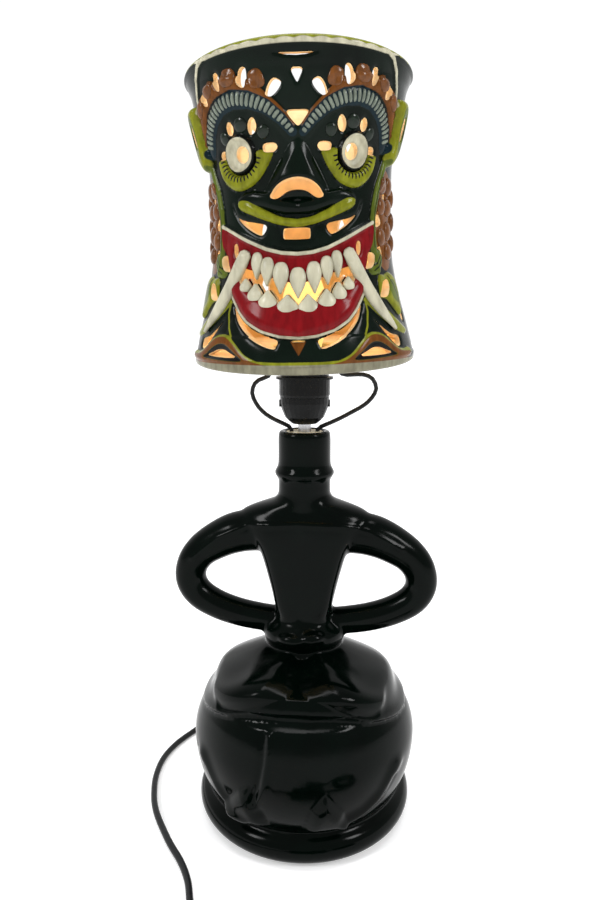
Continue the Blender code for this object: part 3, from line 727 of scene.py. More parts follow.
def carve(obj):
    """Moves the figure's skin out or in along its normals where it has folds and ridges."""
    data = obj.data
    count = len(data.vertices)
    co, normal = np.zeros(count * 3), np.zeros(count * 3)
    data.vertices.foreach_get("co", co)
    data.vertices.foreach_get("normal", normal)
    co, normal = co.reshape(-1, 3) / MM, normal.reshape(-1, 3)
    x, y, z = co.T
    front = y < FRONT_Y
    out = np.zeros(count)
    for lines, (low, high) in ((BELLY_FOLDS, BELLY_SPAN), (LAP_RIDGES, LAP_SPAN)):
        here = front & (z > low) & (z < high)
        fade = np.clip((z - low) / FOLD_FADE, 0, 1)
        for points, half, rise in lines:
            d, _ = segment_distance(x, z, points)
            out += np.where(here, fade * rise * np.exp(-((d / half) ** 2)), 0)
    for outline, rise in FEET:
        share = np.clip(-inside_distance(x, z, outline, 1.0) / FOOT_EDGE, 0, 1)
        out += np.where(front, rise * np.sin(share * math.pi / 2), 0)
    apron = inside_distance(x, z, LAP_PLANE, 1.0)
    out -= np.where(front, LAP_DEPTH * np.clip(-apron / LAP_EDGE, 0, 1), 0)
    hands = front & (z > KNUCKLE_SPAN[0]) & (z < KNUCKLE_SPAN[1])
    for cx, cz in KNUCKLES:
        d = np.hypot((x - cx) / KNUCKLE_SIZE[0], (z - cz) / KNUCKLE_SIZE[1])
        out += np.where(hands, KNUCKLE_RISE * np.exp(-(d**4)), 0)
    chest = front & (z > CREASE_SPAN[0]) & (z < CREASE_SPAN[1])
    out -= CREASE_DEPTH * np.exp(-(((x - CREASE_X) / CREASE_HALF) ** 2)) * chest
    d, _ = segment_distance(x, z, SHOULDER_LINE)
    shoulder = SHOULDER_RISE * np.exp(-((d / SHOULDER_HALF) ** 2))
    out += np.where((y < -4) & (z > 200), shoulder, 0)
    co += normal * out[:, None]
    co[:, 2] = np.maximum(co[:, 2], FOOT_LEVEL)
    data.vertices.foreach_set("co", (co * MM).ravel())
    data.update()


def ease(obj, rounds):
    """Smooths the mesh, after any modifier that it already has."""
    smooth = obj.modifiers.new("ease", "SMOOTH")
    smooth.factor = 0.5
    smooth.iterations = rounds
    apply_modifiers(obj)


def make_arm(sign):
    line = catmull([(sign * x, 0, z) for x, z in ARM_LINE], 4)
    arm = tube(f"arm_{sign}", line, ARM_RADIUS, MAT["black_glaze"], 8)
    for k, point in enumerate(arm.data.splines[0].points):
        spot = k / (len(line) - 1) * (len(ARM_SCALES) - 1)
        point.radius = float(np.interp(spot, range(len(ARM_SCALES)), ARM_SCALES))
    return as_mesh(arm)


def make_figure():
    rings = [*round_rings(FOOT_RINGS), *BODY_RINGS, *round_rings(NECK_RINGS)]
    body = lofted("figure_glazed", refined(rings, RING_STEP), RING_POINTS)
    arms = [make_arm(sign) for sign in (-1, 1)]
    shape = bmesh.new()
    for piece in (body, *arms):
        shape.from_mesh(piece.data)
    shape.to_mesh(body.data)
    shape.free()
    for arm in arms:
        bpy.data.objects.remove(arm)
    remesh = body.modifiers.new("remesh", "REMESH")
    remesh.mode = "VOXEL"
    remesh.voxel_size = FIGURE_VOXEL * MM
    ease(body, 10)
    carve(body)
    ease(body, 3)
    body.data.materials.clear()
    body.data.materials.append(MAT["black_glaze"])
    body.data.shade_smooth()
    body.data.transform(FIGURE_FRAME)
    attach(body, "lamp_base")
    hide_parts("figure_body")


# ------------------------------------------------------------------------ mask surface

FLAT_RADIUS = 68.0  # the radius at which u is measured
SHADE_TOP = 193.4
FRONT_RISE = 8.2  # how much the rim stands higher in front than at the sides
SIDE_DROP = 6.4  # how much the whole rim is lowered before its front is raised
WALL = 4.4
RIM_BAND = 3.8
FAR = 4.0  # distances beyond this many millimetres aren't worked out

# radius of the plain wall at each height, without what stands out of it
WALL_H = (0, 6, 14, 30, 44, 58, 68, 78, 92, 112, 131, 144, 162, 180, 190, SHADE_TOP)
WALL_R = (
    80.6, 80.6, 78.6, 74.2, 70.2, 66.8, 65, 64, 63.4, 63, 63.6, 66, 70, 73.2, 76, 76.4,
)

# The left half of the face is the right half mirrored and a little wider. Outlines are
# (a, h): a is the distance from the face's middle line, on the +X side.
LEFT_WIDER = 1.07


def middle_line(h):
    return np.interp(h, (85.0, 150.0), (-1.2, 1.2))


def folded(u, h):
    """u turned into the face's own half, mirrored."""
    s = u - middle_line(h)
    return np.where(s > 0, s, -s / LEFT_WIDER)


def unfolded(a, h, side):
    """u from a place on the face's right (side 1) or left (side -1) half."""
    s = np.where(side > 0, a, -a * LEFT_WIDER)
    return s + middle_line(h)


def rim_lift(u, h):
    """How far a point near the rim is lifted, so the rim is highest in front."""
    facing = np.maximum(np.cos(u / FLAT_RADIUS), 0)
    start = np.interp(facing, (0.0, 1.0), (175.0, 183.0))
    share = np.clip((h - start) / (SHADE_TOP - start), 0, 1)
    return share * (FRONT_RISE * facing - SIDE_DROP)


def inside_distance(x, y, outline, reach=FAR):
    """Signed distance to a closed outline, negative inside, up to a reach outside."""
    found = np.full(x.shape, reach)
    px, py = zip(*outline)
    near = (x > min(px) - reach) & (x < max(px) + reach)
    near &= (y > min(py) - reach) & (y < max(py) + reach)
    if not near.any():
        return found
    qx, qy = x[near], y[near]
    best = np.full(qx.shape, 1e9)
    inside = np.zeros(qx.shape, bool)
    for (ax, ay), (bx, by) in zip(outline, [*outline[1:], outline[0]]):
        dx, dy = bx - ax, by - ay
        t = np.clip(((qx - ax) * dx + (qy - ay) * dy) / max(dx * dx + dy * dy, 1e-9), 0, 1)
        best = np.minimum(best, np.hypot(qx - ax - t * dx, qy - ay - t * dy))
        crosses = (ay > qy) != (by > qy)
        cut = ax + (qy - ay) * dx / (dy if dy else 1e-9)
        inside ^= crosses & (qx < cut)
    found[near] = np.minimum(np.where(inside, -best, best), reach)
    return found


def mirrored(half):
    """A closed outline from its half at a >= 0, given from bottom to top or top to bottom."""
    return [*half, *[(-a, h) for a, h in reversed(half) if a > 0.01]]


EYE = (38.0, 135.2)
EYE_RADIUS = 9.8
PUPIL = (37.2, 135.4)
PUPIL_RADIUS = 4.9

# openings on the face's right half, each also made on the left
HOLES = {
    "brow_inner": (
        (8.8, 172.5), (12.4, 174.2), (15.6, 171.3), (17.4, 166.4), (15.4, 164.6), (12, 166.4),
        (9, 170),
    ),
    "brow_middle": (
        (27.6, 180.8), (30.4, 181.4), (32.6, 178.6), (33.2, 173.4), (30.8, 170.8), (28.3, 171),
        (27.6, 175),
    ),
    "brow_outer": (
        (47.4, 181.6), (50, 181.2), (50.4, 178), (48, 172.4), (45.6, 171.2), (44.8, 174),
        (45.8, 178),
    ),
    "brow_end": (
        (58.4, 165.6), (57.6, 168.8), (60.6, 173.4), (64.4, 173), (64.4, 169.6), (61, 166),
    ),
    "lid_inner": ((12.6, 138), (14.5, 140.4), (21, 140.2), (22, 137.4), (19.6, 135.2), (15, 135.4)),
    "lid_middle": ((25, 151), (26.6, 155), (29.4, 154), (31, 150), (29.8, 146), (26.4, 147)),
    "lid_outer": (
        (41.8, 152.4), (44.6, 154.6), (47, 152), (46.4, 148), (43.4, 146.8), (41.6, 149.4),
    ),
    "lid_end": ((51.2, 134.2), (51, 138.6), (55.6, 138.8), (57.2, 136.2), (55.2, 133.6)),
    "cheek": (
        (47, 105.6), (44, 99.6), (37.5, 96.4), (29, 94.8), (21.4, 93.2), (20.4, 90.6), (22.6, 87.4),
        (25, 86.9), (32, 90), (39, 94.6), (43.6, 99.4),
    ),
    "gum": ((44.6, 82.4), (46.8, 81.4), (47, 77), (45, 73.2), (43.3, 75.4), (43.2, 79.6)),
    "cheek_side": ((50.6, 64.8), (52.6, 69), (54.8, 75.2), (58.6, 73.2), (57.4, 68), (54, 65.2)),
    "leaf_low": ((60.4, 48.8), (63.6, 56), (70, 57.2), (70.8, 52), (66, 46.4), (61, 46.2)),
    "chin": (
        (42, 43), (36.6, 36.6), (27.4, 29), (18.4, 24.8), (11.2, 22.2), (11.6, 18.6), (13.4, 16.6),
        (22, 19.9), (31, 26.2), (38, 34),
    ),
    "slit": (
        (50.6, 33), (56, 27.4), (63.6, 22.2), (71.8, 19.8), (72.4, 14.2), (68, 13.6), (60, 21),
        (53.6, 29),
    ),
    "wing": ((36.4, 10.3), (40.6, 13.3), (45, 15), (50, 14.6), (54, 12.8), (58.6, 10)),
    "side_low": ((65.8, 74.8), (67, 79), (70.2, 78), (71.4, 73), (69, 71.2)),
    "side_middle": (
        (60.8, 95.4), (62.4, 101.2), (66.6, 99.6), (71, 94), (66.4, 91.2), (62.2, 92.2),
    ),
    "side_high": ((73.6, 109), (72.6, 114.6), (75.4, 117), (77.4, 112), (76.2, 108)),
    "ear": ((77.4, 148), (78.4, 156), (80.6, 158), (81.6, 152), (80, 145), (78, 144)),
    "foot_side": ((85, 30), (83.4, 38), (86, 46), (89.6, 40), (89.6, 32), (87.4, 28)),
}
# right halves of openings that lie on the face's middle line
MIDDLE_HOLES = {
    "forehead_slot": ((0, 184.5), (6.5, 184.9), (11.6, 186.4), (7.4, 185.9), (0, 185.7)),
    "forehead_drop": ((0, 171.4), (1.2, 173.4), (3, 177.4), (2.2, 178.9), (0, 179)),
    "bridge": ((0, 148.8), (2.2, 150.4), (5.8, 155.2), (6.2, 157), (4, 157.4), (0, 157.4)),
    "nose": (
        (0, 112.9), (6.4, 111.8), (12.2, 108.4), (16, 108.5), (17, 110.6), (14, 114.6), (8, 118.4),
        (0, 120),
    ),
    "lip_gap": ((0, 83.8), (7.6, 84.1), (9, 85.2), (8.9, 89.4), (7.8, 90.6), (0, 90.9)),
    "chin_slot": ((0, 20.8), (3.6, 20.9), (3.8, 21.9), (0, 22)),
}
ANGULAR = ("forehead_slot", "chin_slot")  # outlines with corners, not rounded
MOUTH = (
    (0, 42.6), (9, 44.6), (17.6, 47), (26.6, 50), (34, 55.2), (38.6, 60), (38, 66.4), (33.4, 66),
    (27, 64.4), (20, 61.6), (10, 59), (0, 56.8),
)

# a tooth is (a, tip height, root height, half width); the middle one stands on the middle line
UPPER_TEETH = (
    (0.0, 47.6, 67.0, 5.4),
    (10.6, 50.4, 70.4, 5.0),
    (19.4, 55.4, 73.6, 4.4),
    (26.6, 59.6, 76.8, 3.9),
)
LOWER_TEETH = (
    (6.2, 50.4, 36.6, 6.6),
    (17.6, 53.4, 40.4, 5.8),
    (25.6, 57.4, 45.8, 4.6),
    (32.4, 60.6, 52.0, 3.6),
)
TUSK_LINE = ((33.6, 77.6), (38.6, 68.6), (45.8, 54.8), (54, 41.4), (67, 25.4))
TUSK_HALF = (3.9, 4.6, 4.6, 4.2, 1.4)

# Painted outlines on the right half: colour, outline
PAINTED = {
    "brow": (
        "brown",
        (
            (3.4, 146.6), (10.6, 156), (19.6, 164.2), (29, 168.4), (40, 170.2), (51, 168.4),
            (60.5, 162.6), (67, 153.6), (70.6, 143), (72.4, 150), (71, 163), (67, 171), (58, 176),
            (46, 178), (34, 177.6), (24, 173), (15.6, 165.4), (8.6, 158.4), (2.6, 150.6),
        ),
    ),
    "ear": (
        "leaf",
        (
            (71.5, 166), (76, 168.6), (83, 167.6), (87, 160), (87.4, 147), (84, 136), (77, 129),
            (71, 129.6), (68.6, 134), (71, 142), (72.6, 152),
        ),
    ),
    "ear_inside": (
        "olive",
        ((76, 161.6), (80, 163.6), (83.4, 158), (83.6, 149), (80, 140), (76.4, 138.6), (75.4, 147)),
    ),
    "side": (
        "brown",
        (
            (62, 118), (68, 126), (78, 126), (88, 118), (90, 100), (89, 82), (84, 68), (74, 63),
            (66, 68), (61.4, 80), (60.4, 96),
        ),
    ),
    "leaf_small": (
        "olive",
        ((52, 63.6), (56, 60.6), (62, 62), (67, 68), (68.4, 76.4), (63, 76.6), (57, 72.6)),
    ),
    "leaf_large": (
        "leaf",
        (
            (61, 60), (68, 60.4), (76, 62), (84, 57), (86, 44), (80, 33), (73, 38), (66, 44.6),
            (60, 47),
        ),
    ),
    "leaf_inside": (
        "olive",
        ((72, 56.6), (78, 57), (82, 50), (80, 42), (74, 44), (70.6, 50)),
    ),
    "leaf_long": (
        "leaf",
        (
            (42.6, 47), (49, 39.6), (58.6, 31.4), (70, 24), (81, 20.4), (86, 23), (78, 28),
            (66, 36.6), (55, 46), (47, 52),
        ),
    ),
    "wing": (
        "leaf",
        (
            (18.4, 7.2), (28.6, 12), (36, 19.2), (42.4, 24), (48.4, 24.6), (55, 22.4), (63, 15.4),
            (72, 11.2), (82, 11), (82, 5.4), (60, 5.6), (40, 6.4), (24, 6.8),
        ),
    ),
    "wing_inside": (
        "brown",
        (
            (17, 6.2), (25, 8.6), (31.4, 12.6), (37.6, 18.8), (43.2, 22.8), (48, 23.3),
            (53.6, 21.3), (61.4, 14.6), (69, 10.4), (80, 8.6), (80, 4.6), (50, 4.4), (30, 5),
        ),
    ),
    "wing_window": (
        "line",
        (
            (31, 8.6), (36.6, 13.8), (42.4, 18), (47.4, 18.9), (53, 16.6), (59.6, 11.4),
            (62.6, 8.6), (46, 8.1),
        ),
    ),
    "moustache": (
        "leaf",
        (
            (-2, 91.4), (10, 92.6), (20, 95.6), (30, 99.2), (38.4, 102.6), (40.6, 105.6),
            (38.4, 108), (33, 108), (26, 104.8), (17, 100.4), (9, 97.2), (-2, 95.4),
        ),
    ),
    "eyelid": (
        "leaf",
        (
            (57.6, 134), (56.2, 126), (51.2, 119.2), (44, 115.1), (36.6, 114.5), (28, 117.6),
            (21.4, 124), (16.8, 131), (15.8, 135.4), (25.6, 136.6), (26.4, 130.6), (30.6, 125.4),
            (35.6, 123.4), (41.6, 123.9), (46.4, 126.8), (49.2, 131), (49.6, 134),
        ),
    ),
    "gum": (
        "red",
        (
            (-2, 74.6), (12, 76), (24, 79.8), (36, 85), (47, 89.8), (56.4, 92.4), (57.2, 86),
            (55.6, 77), (51.2, 67), (46, 60), (38, 60), (26, 58), (12, 54), (-2, 54),
        ),
    ),
    "lower_lip": (
        "red",
        (
            (-2, 24.4), (10, 25.2), (20, 28.4), (29, 33.8), (37, 41.6), (44.4, 51.6), (45.6, 55),
            (41, 59.6), (36, 60.2), (30, 57), (20, 50), (8, 46), (-2, 44),
        ),
    ),
    "eyeball": ("cream", circle(EYE, EYE_RADIUS, 20)),
}
# Painted lines: colour, half width, line
STROKES = {
    "frame": ("cream", 1.2, ((54, 191), (60, 188.4), (65.6, 182), (69.4, 173), (71, 164))),
    "side_band": (
        "olive",
        3,
        ((71, 130), (63.4, 116), (59.4, 103), (57.8, 90), (59, 77), (61.4, 64)),
    ),
    "side_groove": ("line", 0.45, ((70, 127), (62.6, 113), (58.8, 101), (57.6, 90), (58.6, 78))),
    "upper_lip": (
        "cream",
        1.1,
        ((-1, 75), (10, 75.9), (20, 78.4), (33, 83.7), (45, 89), (56.6, 93.6)),
    ),
    "lower_lip": (
        "cream",
        0.9,
        ((-1, 23.6), (10, 24.4), (20.6, 27.6), (30, 33.2), (38, 41), (45.4, 51.6)),
    ),
    "lower_groove": (
        "line",
        0.5,
        ((-1, 22.4), (10, 23.2), (21, 26.4), (31, 32.2), (39.2, 40.4), (46.6, 51.2)),
    ),
    "chin_side": ("leaf", 0.7, ((45, 46), (45.6, 38), (43.4, 29), (39.6, 21.4))),
    "chin_foot": ("leaf", 1, ((-1, 7.7), (12, 7.5), (24, 7.9))),
    "ear_groove": ("line", 0.5, ((77, 134), (81.6, 142), (82, 152), (79.4, 160))),
    "leaf_vein_low": ("line", 0.5, ((54, 66), (60, 68), (65, 74))),
    "leaf_vein_high": ("line", 0.45, ((56, 63.4), (61.6, 66), (66.6, 71.6))),
    "leaf_groove": ("line", 0.5, ((70, 60), (76, 54), (80, 46), (80.4, 38))),
}
RIB_LINE = (
    (3.2, 145.4), (9.6, 152.8), (18, 159.8), (28, 164.2), (38.6, 165.6), (48.6, 163.2), (57.4, 157),
    (63.6, 149), (66.6, 140.6),
)
# rows of slots behind: height, how many places, and degrees between them
BACK_ROWS = ((160.0, 6, 22.0), (128.0, 6, 20.0), (92.0, 6, 20.0), (50.0, 6, 20.0))
BACK_CLEAR = 20.0  # degrees either side of the back's middle with no slots
BACK_SLOT = ((-4, 0), (-2.6, 7), (0, 10), (2.6, 7), (4, 0), (2.6, -7), (0, -10), (-2.6, -7))


def hole_outlines():
    found = {n: closed_curve(p, 3) for n, p in HOLES.items()}
    for name, half in MIDDLE_HOLES.items():
        whole = mirrored(half)
        found[name] = whole if name in ANGULAR else closed_curve(whole, 3)
    found["pupil"] = circle(PUPIL, PUPIL_RADIUS, 24)
    return found


# a tooth's outline from its tip to its root: share of its half width, share of its height
TOOTH_SIDE = ((0.34, 0.16), (0.86, 0.44), (1.0, 0.70), (0.66, 0.94))


def tooth_outline(a, tip, root, half):
    """A tooth with a point at its tip and a round root."""
    tall = root - tip
    right = [(a + wide * half, tip + high * tall) for wide, high in TOOTH_SIDE]
    left = [(a - wide * half, tip + high * tall) for wide, high in reversed(TOOTH_SIDE)]
    return closed_curve([(a, tip), *right, (a, root), *left], 3)


def holes_distance(u, h):
    """Signed distance to the nearest opening, negative inside it."""
    a = folded(u, h)
    best = np.full(u.shape, FAR)
    for outline in hole_outlines().values():
        best = np.minimum(best, inside_distance(a, h, outline))
    mouth = inside_distance(a, h, closed_curve(mirrored(MOUTH), 3))
    for tooth in (*UPPER_TEETH, *LOWER_TEETH):
        mouth = np.maximum(mouth, -inside_distance(a, h, tooth_outline(*tooth)))
    best = np.minimum(best, mouth)
    for height, count, spacing in BACK_ROWS:
        for k in range(count):
            angle = (k - (count - 1) / 2) * spacing
            if abs(angle) < BACK_CLEAR:
                continue
            centre = math.radians(180 + angle) * FLAT_RADIUS
            stretch = np.interp(height, WALL_H, WALL_R) / FLAT_RADIUS
            for turn in (0.0, -math.tau * FLAT_RADIUS):
                across = (u - centre - turn) * stretch
                slot = inside_distance(across, h - height, closed_curve(BACK_SLOT, 3))
                best = np.minimum(best, slot)
    return best


def bulge(distance, width, rise):
    """A rounded step: rises from nothing at the outline to its full height inside."""
    t = np.clip(-distance / width, 0, 1)
    return rise * np.sqrt(1 - (1 - t) ** 2)


def ridge(distance, half, rise):
    return rise * np.sqrt(np.clip(1 - (distance / half) ** 2, 0, 1))


NOSE = (
    (0, 144), (4, 141), (12, 128), (20, 115), (23.4, 110), (21, 106.4), (14, 105.2), (7, 108.6),
    (0, 109.6),
)
MOUSTACHE_LUMP = (
    (20, 112.4), (28, 113.6), (36, 112.6), (41.4, 109), (40, 104.6), (34, 104), (24, 103.6),
    (12, 100), (0, 99), (0, 106), (10, 107.6),
)
NOSE_RISE = ((104.0, 116.0, 146.0), (3.4, 8.0, 1.2))  # height, and how far the nose stands out
# painted outlines that stand out of the wall: width of the rounded edge, how far out
RAISED = {
    "brow": (3.0, 2.3),
    "moustache": (2.6, 3.4),
    "eyelid": (2.4, 3.0),
    "lower_lip": (7.0, 5.0),
    "ear": (5.0, 6.4),
    "leaf_small": (2.4, 2.0),
    "leaf_large": (3.2, 2.6),
    "leaf_long": (2.2, 1.2),
    "wing": (2.6, 2.2),
}
SIDE_SHAPES = ("ear", "leaf_small", "leaf_large", "leaf_long", "wing")
# painted lines that are round ridges: half width, how far out
BEADS = {"frame": (1.9, 1.5), "upper_lip": (2, 2), "lower_lip": (1.5, 1.6), "side_band": (3.2, 2.2)}
BROW_BEAD = (5.0, 1.5)
BALL_BEAD = (1.6, 2.8)  # the ridge round the eyeball
LUMP_EDGE = (3.6, 3.0)
EYE_DISH = (-4.2, 1.8)  # the skin's height at the pupil's edge and at the eyeball's edge
CHIN_SIZE = (45.0, 26.0)  # half width, and both half height and middle, of the chin's swelling
EYE_TROUGH = (EYE_RADIUS + 1.2, 12.6)  # between these radii the skin is sunk round the eyeball


def relief(u, h, holes):
    """How far the outer skin stands out of the plain wall."""
    a = folded(u, h)
    out = np.zeros(u.shape)

    def raised(name):
        shape = inside_distance(a, h, closed_curve(PAINTED[name][1], 3))
        return np.maximum(out, bulge(shape, *RAISED[name]))

    def beaded(line, size):
        return np.maximum(out, ridge(segment_distance(a, h, line)[0], *size))

    out += bulge(SHADE_TOP - RIM_BAND - h, 1.2, 0.8)
    out = beaded(STROKES["frame"][2], BEADS["frame"])
    out = raised("brow")
    out = beaded(RIB_LINE, BROW_BEAD)
    nose = inside_distance(a, h, closed_curve(mirrored(NOSE), 2))
    slope = np.interp(h, *NOSE_RISE) * np.exp(-((a / 15.0) ** 2))
    out = np.maximum(out, slope * np.clip(-nose / 5.0, 0, 1) ** 0.6)
    lump = inside_distance(a, h, closed_curve(mirrored(MOUSTACHE_LUMP), 2))
    out = np.maximum(out, bulge(lump, *LUMP_EDGE))
    out = raised("moustache")
    out = raised("eyelid")
    r = np.hypot(a - EYE[0], h - EYE[1])
    out = np.maximum(out, ridge(r - EYE_RADIUS, *BALL_BEAD))
    ball = EYE_RADIUS - 0.6
    out = np.where(r < ball, np.interp(r, (PUPIL_RADIUS, ball), EYE_DISH), out)
    out -= np.where((r > EYE_TROUGH[0]) & (r < EYE_TROUGH[1]), 0.5, 0)
    out = beaded(STROKES["upper_lip"][2], BEADS["upper_lip"])
    gum = inside_distance(a, h, closed_curve(PAINTED["gum"][1], 2))
    lip, _ = segment_distance(a, h, STROKES["upper_lip"][2])
    gum_out = np.minimum(out, 0.6 + ridge(lip, 2.0, 1.6)) - bulge(gum, 4.0, 0.8)
    out = np.where(gum < 0, gum_out, out)
    out = raised("lower_lip")
    out = beaded(STROKES["lower_lip"][2], BEADS["lower_lip"])
    wide, high = CHIN_SIZE
    chin = np.clip(1 - (a / wide) ** 2 - ((h - high) / high) ** 2, 0, 1)
    out += np.where(h < 24, 3.0, 1.2) * chin**0.5 * (h > 6)
    out = beaded(STROKES["side_band"][2], BEADS["side_band"])
    for name in SIDE_SHAPES:
        out = raised(name)
    window = inside_distance(a, h, closed_curve(PAINTED["wing_window"][1], 3))
    out -= bulge(window, 1.5, 1.0)
    out = np.maximum(out, bulge(h - 6.6, 1.4, 0.8) * (h < 6.6))
    out -= 0.9 * np.exp(-np.clip(holes, 0, None) / 0.9)
    return out


PAINT_REACH = 3.0  # painted distances are kept to this many millimetres either way
CHIN_DROP = ((0, 12.6), (4.2, 21.6), (0, 21.8))


def paint_distances(u, h):
    """One signed distance for each painted colour, negative where it is painted."""
    a = folded(u, h)
    found = {name: np.full(u.shape, PAINT_REACH) for name in PAINTS}

    def add(name, distance):
        found[name] = np.minimum(found[name], distance)

    for name, outline in PAINTED.values():
        add(name, inside_distance(a, h, closed_curve(outline, 4), PAINT_REACH))
    for name, half, line in STROKES.values():
        add(name, segment_distance(a, h, line)[0] - half)
    width = np.interp(a, (58.0, 66.0), (RIM_BAND, 1.2))
    add("cream", SHADE_TOP - width - h)
    scallop = 191.2 + 0.9 * np.abs(np.sin(u / 3.1))
    add("leaf", scallop - h)
    found["cream"] = np.maximum(found["cream"], h - scallop)
    # the lowest band is painted this darker cream: painted shade along the shade's lower edge,
    # narrower towards the sides
    add("shaded_cream", h - 6.8 + 3.2 * np.clip(u / 84.0, -1, 1) ** 2)
    ribs, along = segment_distance(a, h, RIB_LINE)
    add("teal", ribs - 2.6 - 2.6 * np.clip(along * 2.2, 0, 1))
    r = np.hypot(a - EYE[0], h - EYE[1])
    add("line", np.abs(r - EYE_RADIUS - 1.2) - 0.8)
    add("brown", inside_distance(a, h, mirrored(CHIN_DROP)))
    window = inside_distance(a, h, closed_curve(PAINTED["wing_window"][1], 4), PAINT_REACH)
    found["brown"] = np.maximum(found["brown"], -window)
    return {name: np.clip(d, -PAINT_REACH, PAINT_REACH) for name, d in found.items()}


def wall_radius(h):
    return np.interp(h, WALL_H, WALL_R)


def skin_point(u, h, out):
    """Points of the shade at (u, h), standing out of the plain wall, in its own frame."""
    angle = np.asarray(u, float) / FLAT_RADIUS
    r = wall_radius(h) + out
    return np.stack([r * np.sin(angle), -r * np.cos(angle), np.asarray(h, float) + 0 * r], -1)


FINE_STEP = 0.86
COARSE_STEP = 2.0
FINE_SIDE = 96.0  # degrees either side of the face's middle with the fine step


def column_places():
    """u of each column: fine round the face and coarse behind."""
    edge = math.radians(FINE_SIDE) * FLAT_RADIUS
    whole = math.tau * FLAT_RADIUS
    front = np.linspace(-edge, edge, round(2 * edge / FINE_STEP), endpoint=False)
    back = np.linspace(edge, whole - edge, round((whole - 2 * edge) / COARSE_STEP), endpoint=False)
    return np.concatenate([front, back])


def wrapped(u):
    """u brought to within half a turn of the face's middle."""
    whole = math.tau * FLAT_RADIUS
    return (u + whole / 2) % whole - whole / 2


def crossing(d_here, d_there):
    """Where the outline crosses a grid edge, as a share of its length."""
    step = np.where(d_here == d_there, 1.0, d_here - d_there)
    return np.clip(d_here / step, 0.06, 0.94)


def trimmed_grid(u, h, d):
    """The grid's part outside the openings: u, h, d, faces, and each edge of an opening."""
    count_h, count_u = d.shape
    keep = d > 0
    index = np.arange(d.size).reshape(d.shape)
    u_next = np.roll(u, -1, 1)
    u_next[:, -1] += math.tau * FLAT_RADIUS
    d_next, keep_next = np.roll(d, -1, 1), np.roll(keep, -1, 1)
    along = keep != keep_next
    t = crossing(d, d_next)
    along_u, along_h = (u + (u_next - u) * t)[along], h[along]
    up = keep[:-1] != keep[1:]
    t = crossing(d[:-1], d[1:])
    up_u, up_h = u[:-1][up], (h[:-1] + (h[1:] - h[:-1]) * t)[up]
    along_index = np.full(d.shape, -1)
    along_index[along] = d.size + np.arange(len(along_u))
    up_index = np.full(up.shape, -1)
    up_index[up] = d.size + len(along_u) + np.arange(len(up_u))
    all_u = np.concatenate([u.ravel(), along_u, up_u])
    all_h = np.concatenate([h.ravel(), along_h, up_h])
    all_d = np.concatenate([d.ravel(), np.zeros(len(along_u) + len(up_u))])
    corners = np.stack([keep[:-1], keep_next[:-1], keep_next[1:], keep[1:]])
    full = corners.all(0)
    shift = np.roll(index, -1, 1)
    faces = np.stack([index[:-1][full], shift[:-1][full], shift[1:][full], index[1:][full]], 1)
    faces = faces.tolist()
    edges = []
    for row, col in np.argwhere(corners.any(0) & ~full).tolist():
        right = (col + 1) % count_u
        places = ((row, col), (row, right), (row + 1, right), (row + 1, col))
        sides = (
            along_index[row, col],
            up_index[row, right],
            along_index[row + 1, col],
            up_index[row, col],
        )
        shape, cut = [], []
        for (r, c), side in zip(places, sides):
            if keep[r, c]:
                shape.append(int(index[r, c]))
            if side >= 0:
                cut.append((len(shape), bool(keep[r, c])))
                shape.append(int(side))
        faces.append(shape)
        for k, (start, leaving) in enumerate(cut):
            if leaving:
                end = cut[(k + 1) % len(cut)][0]
                edges.append((shape[start], shape[end]))
    for row, backwards in ((0, False), (count_h - 1, True)):
        for a, b in zip(index[row].tolist(), shift[row].tolist()):
            edges.append((b, a) if backwards else (a, b))
    return all_u, all_h, all_d, faces, edges


def shade_mesh():
    """The shade's wall as one closed mesh, with its openings cut along their outlines."""
    rows = np.linspace(0, SHADE_TOP, round(SHADE_TOP / FINE_STEP) + 1)
    u, h = np.meshgrid(column_places(), rows)
    u, h, d, faces, edges = trimmed_grid(u, h, holes_distance(wrapped(u), h))
    w = wrapped(u)
    out = relief(w, h, d)
    top = np.clip((h - (SHADE_TOP - 2.6)) / 2.6, 0, 1)
    foot = np.clip((2.2 - h) / 2.2, 0, 1)
    out -= 1.9 * (1 - np.sqrt(1 - top**2)) + 1.8 * (1 - np.sqrt(1 - foot**2))
    lifted = h + rim_lift(w, h)
    outer = skin_point(u, h, out)
    inner = skin_point(u, h, 1.6 * (1 - np.sqrt(1 - top**2)) - WALL)
    outer[:, 2] = lifted
    inner[:, 2] = lifted
    total = len(h)
    shapes = [*faces, *[[i + total for i in reversed(f)] for f in faces]]
    shapes += [[b, a, a + total, b + total] for a, b in edges]
    points = np.concatenate([outer, inner])
    used = np.zeros(len(points), bool)
    for shape in shapes:
        used[shape] = True
    number = (np.cumsum(used) - 1).tolist()
    shapes = [[number[i] for i in shape] for shape in shapes]
    data = bpy.data.meshes.new("mask_painted")
    data.from_pydata((points[used] * MM).tolist(), [], shapes)
    for name, values in paint_distances(w, h).items():
        both = np.concatenate([values, np.full(total, 3.0)])[used]
        layer = data.attributes.new(name, "FLOAT", "POINT")
        layer.data.foreach_set("value", both.astype(np.float32))
    data.materials.append(MAT["mask_glaze"])
    data.materials.append(MAT["shade_inside"])
    slots = np.ones(len(shapes), np.int32)
    slots[: len(faces)] = 0
    slots[len(faces) * 2 + len(edges) - len(column_places()) :] = 0
    data.polygons.foreach_set("material_index", slots)
    data.shade_smooth()
    data.set_sharp_from_angle(angle=math.radians(50))
    return link(bpy.data.objects.new("mask_painted", data))


# shares of a patch's outline, from its edge to near its middle, where its dome is built
PATCH_RINGS = (1.0, 0.96, 0.86, 0.68, 0.42)
PATCH_SINK = 1.6  # how deep a patch starts below the skin


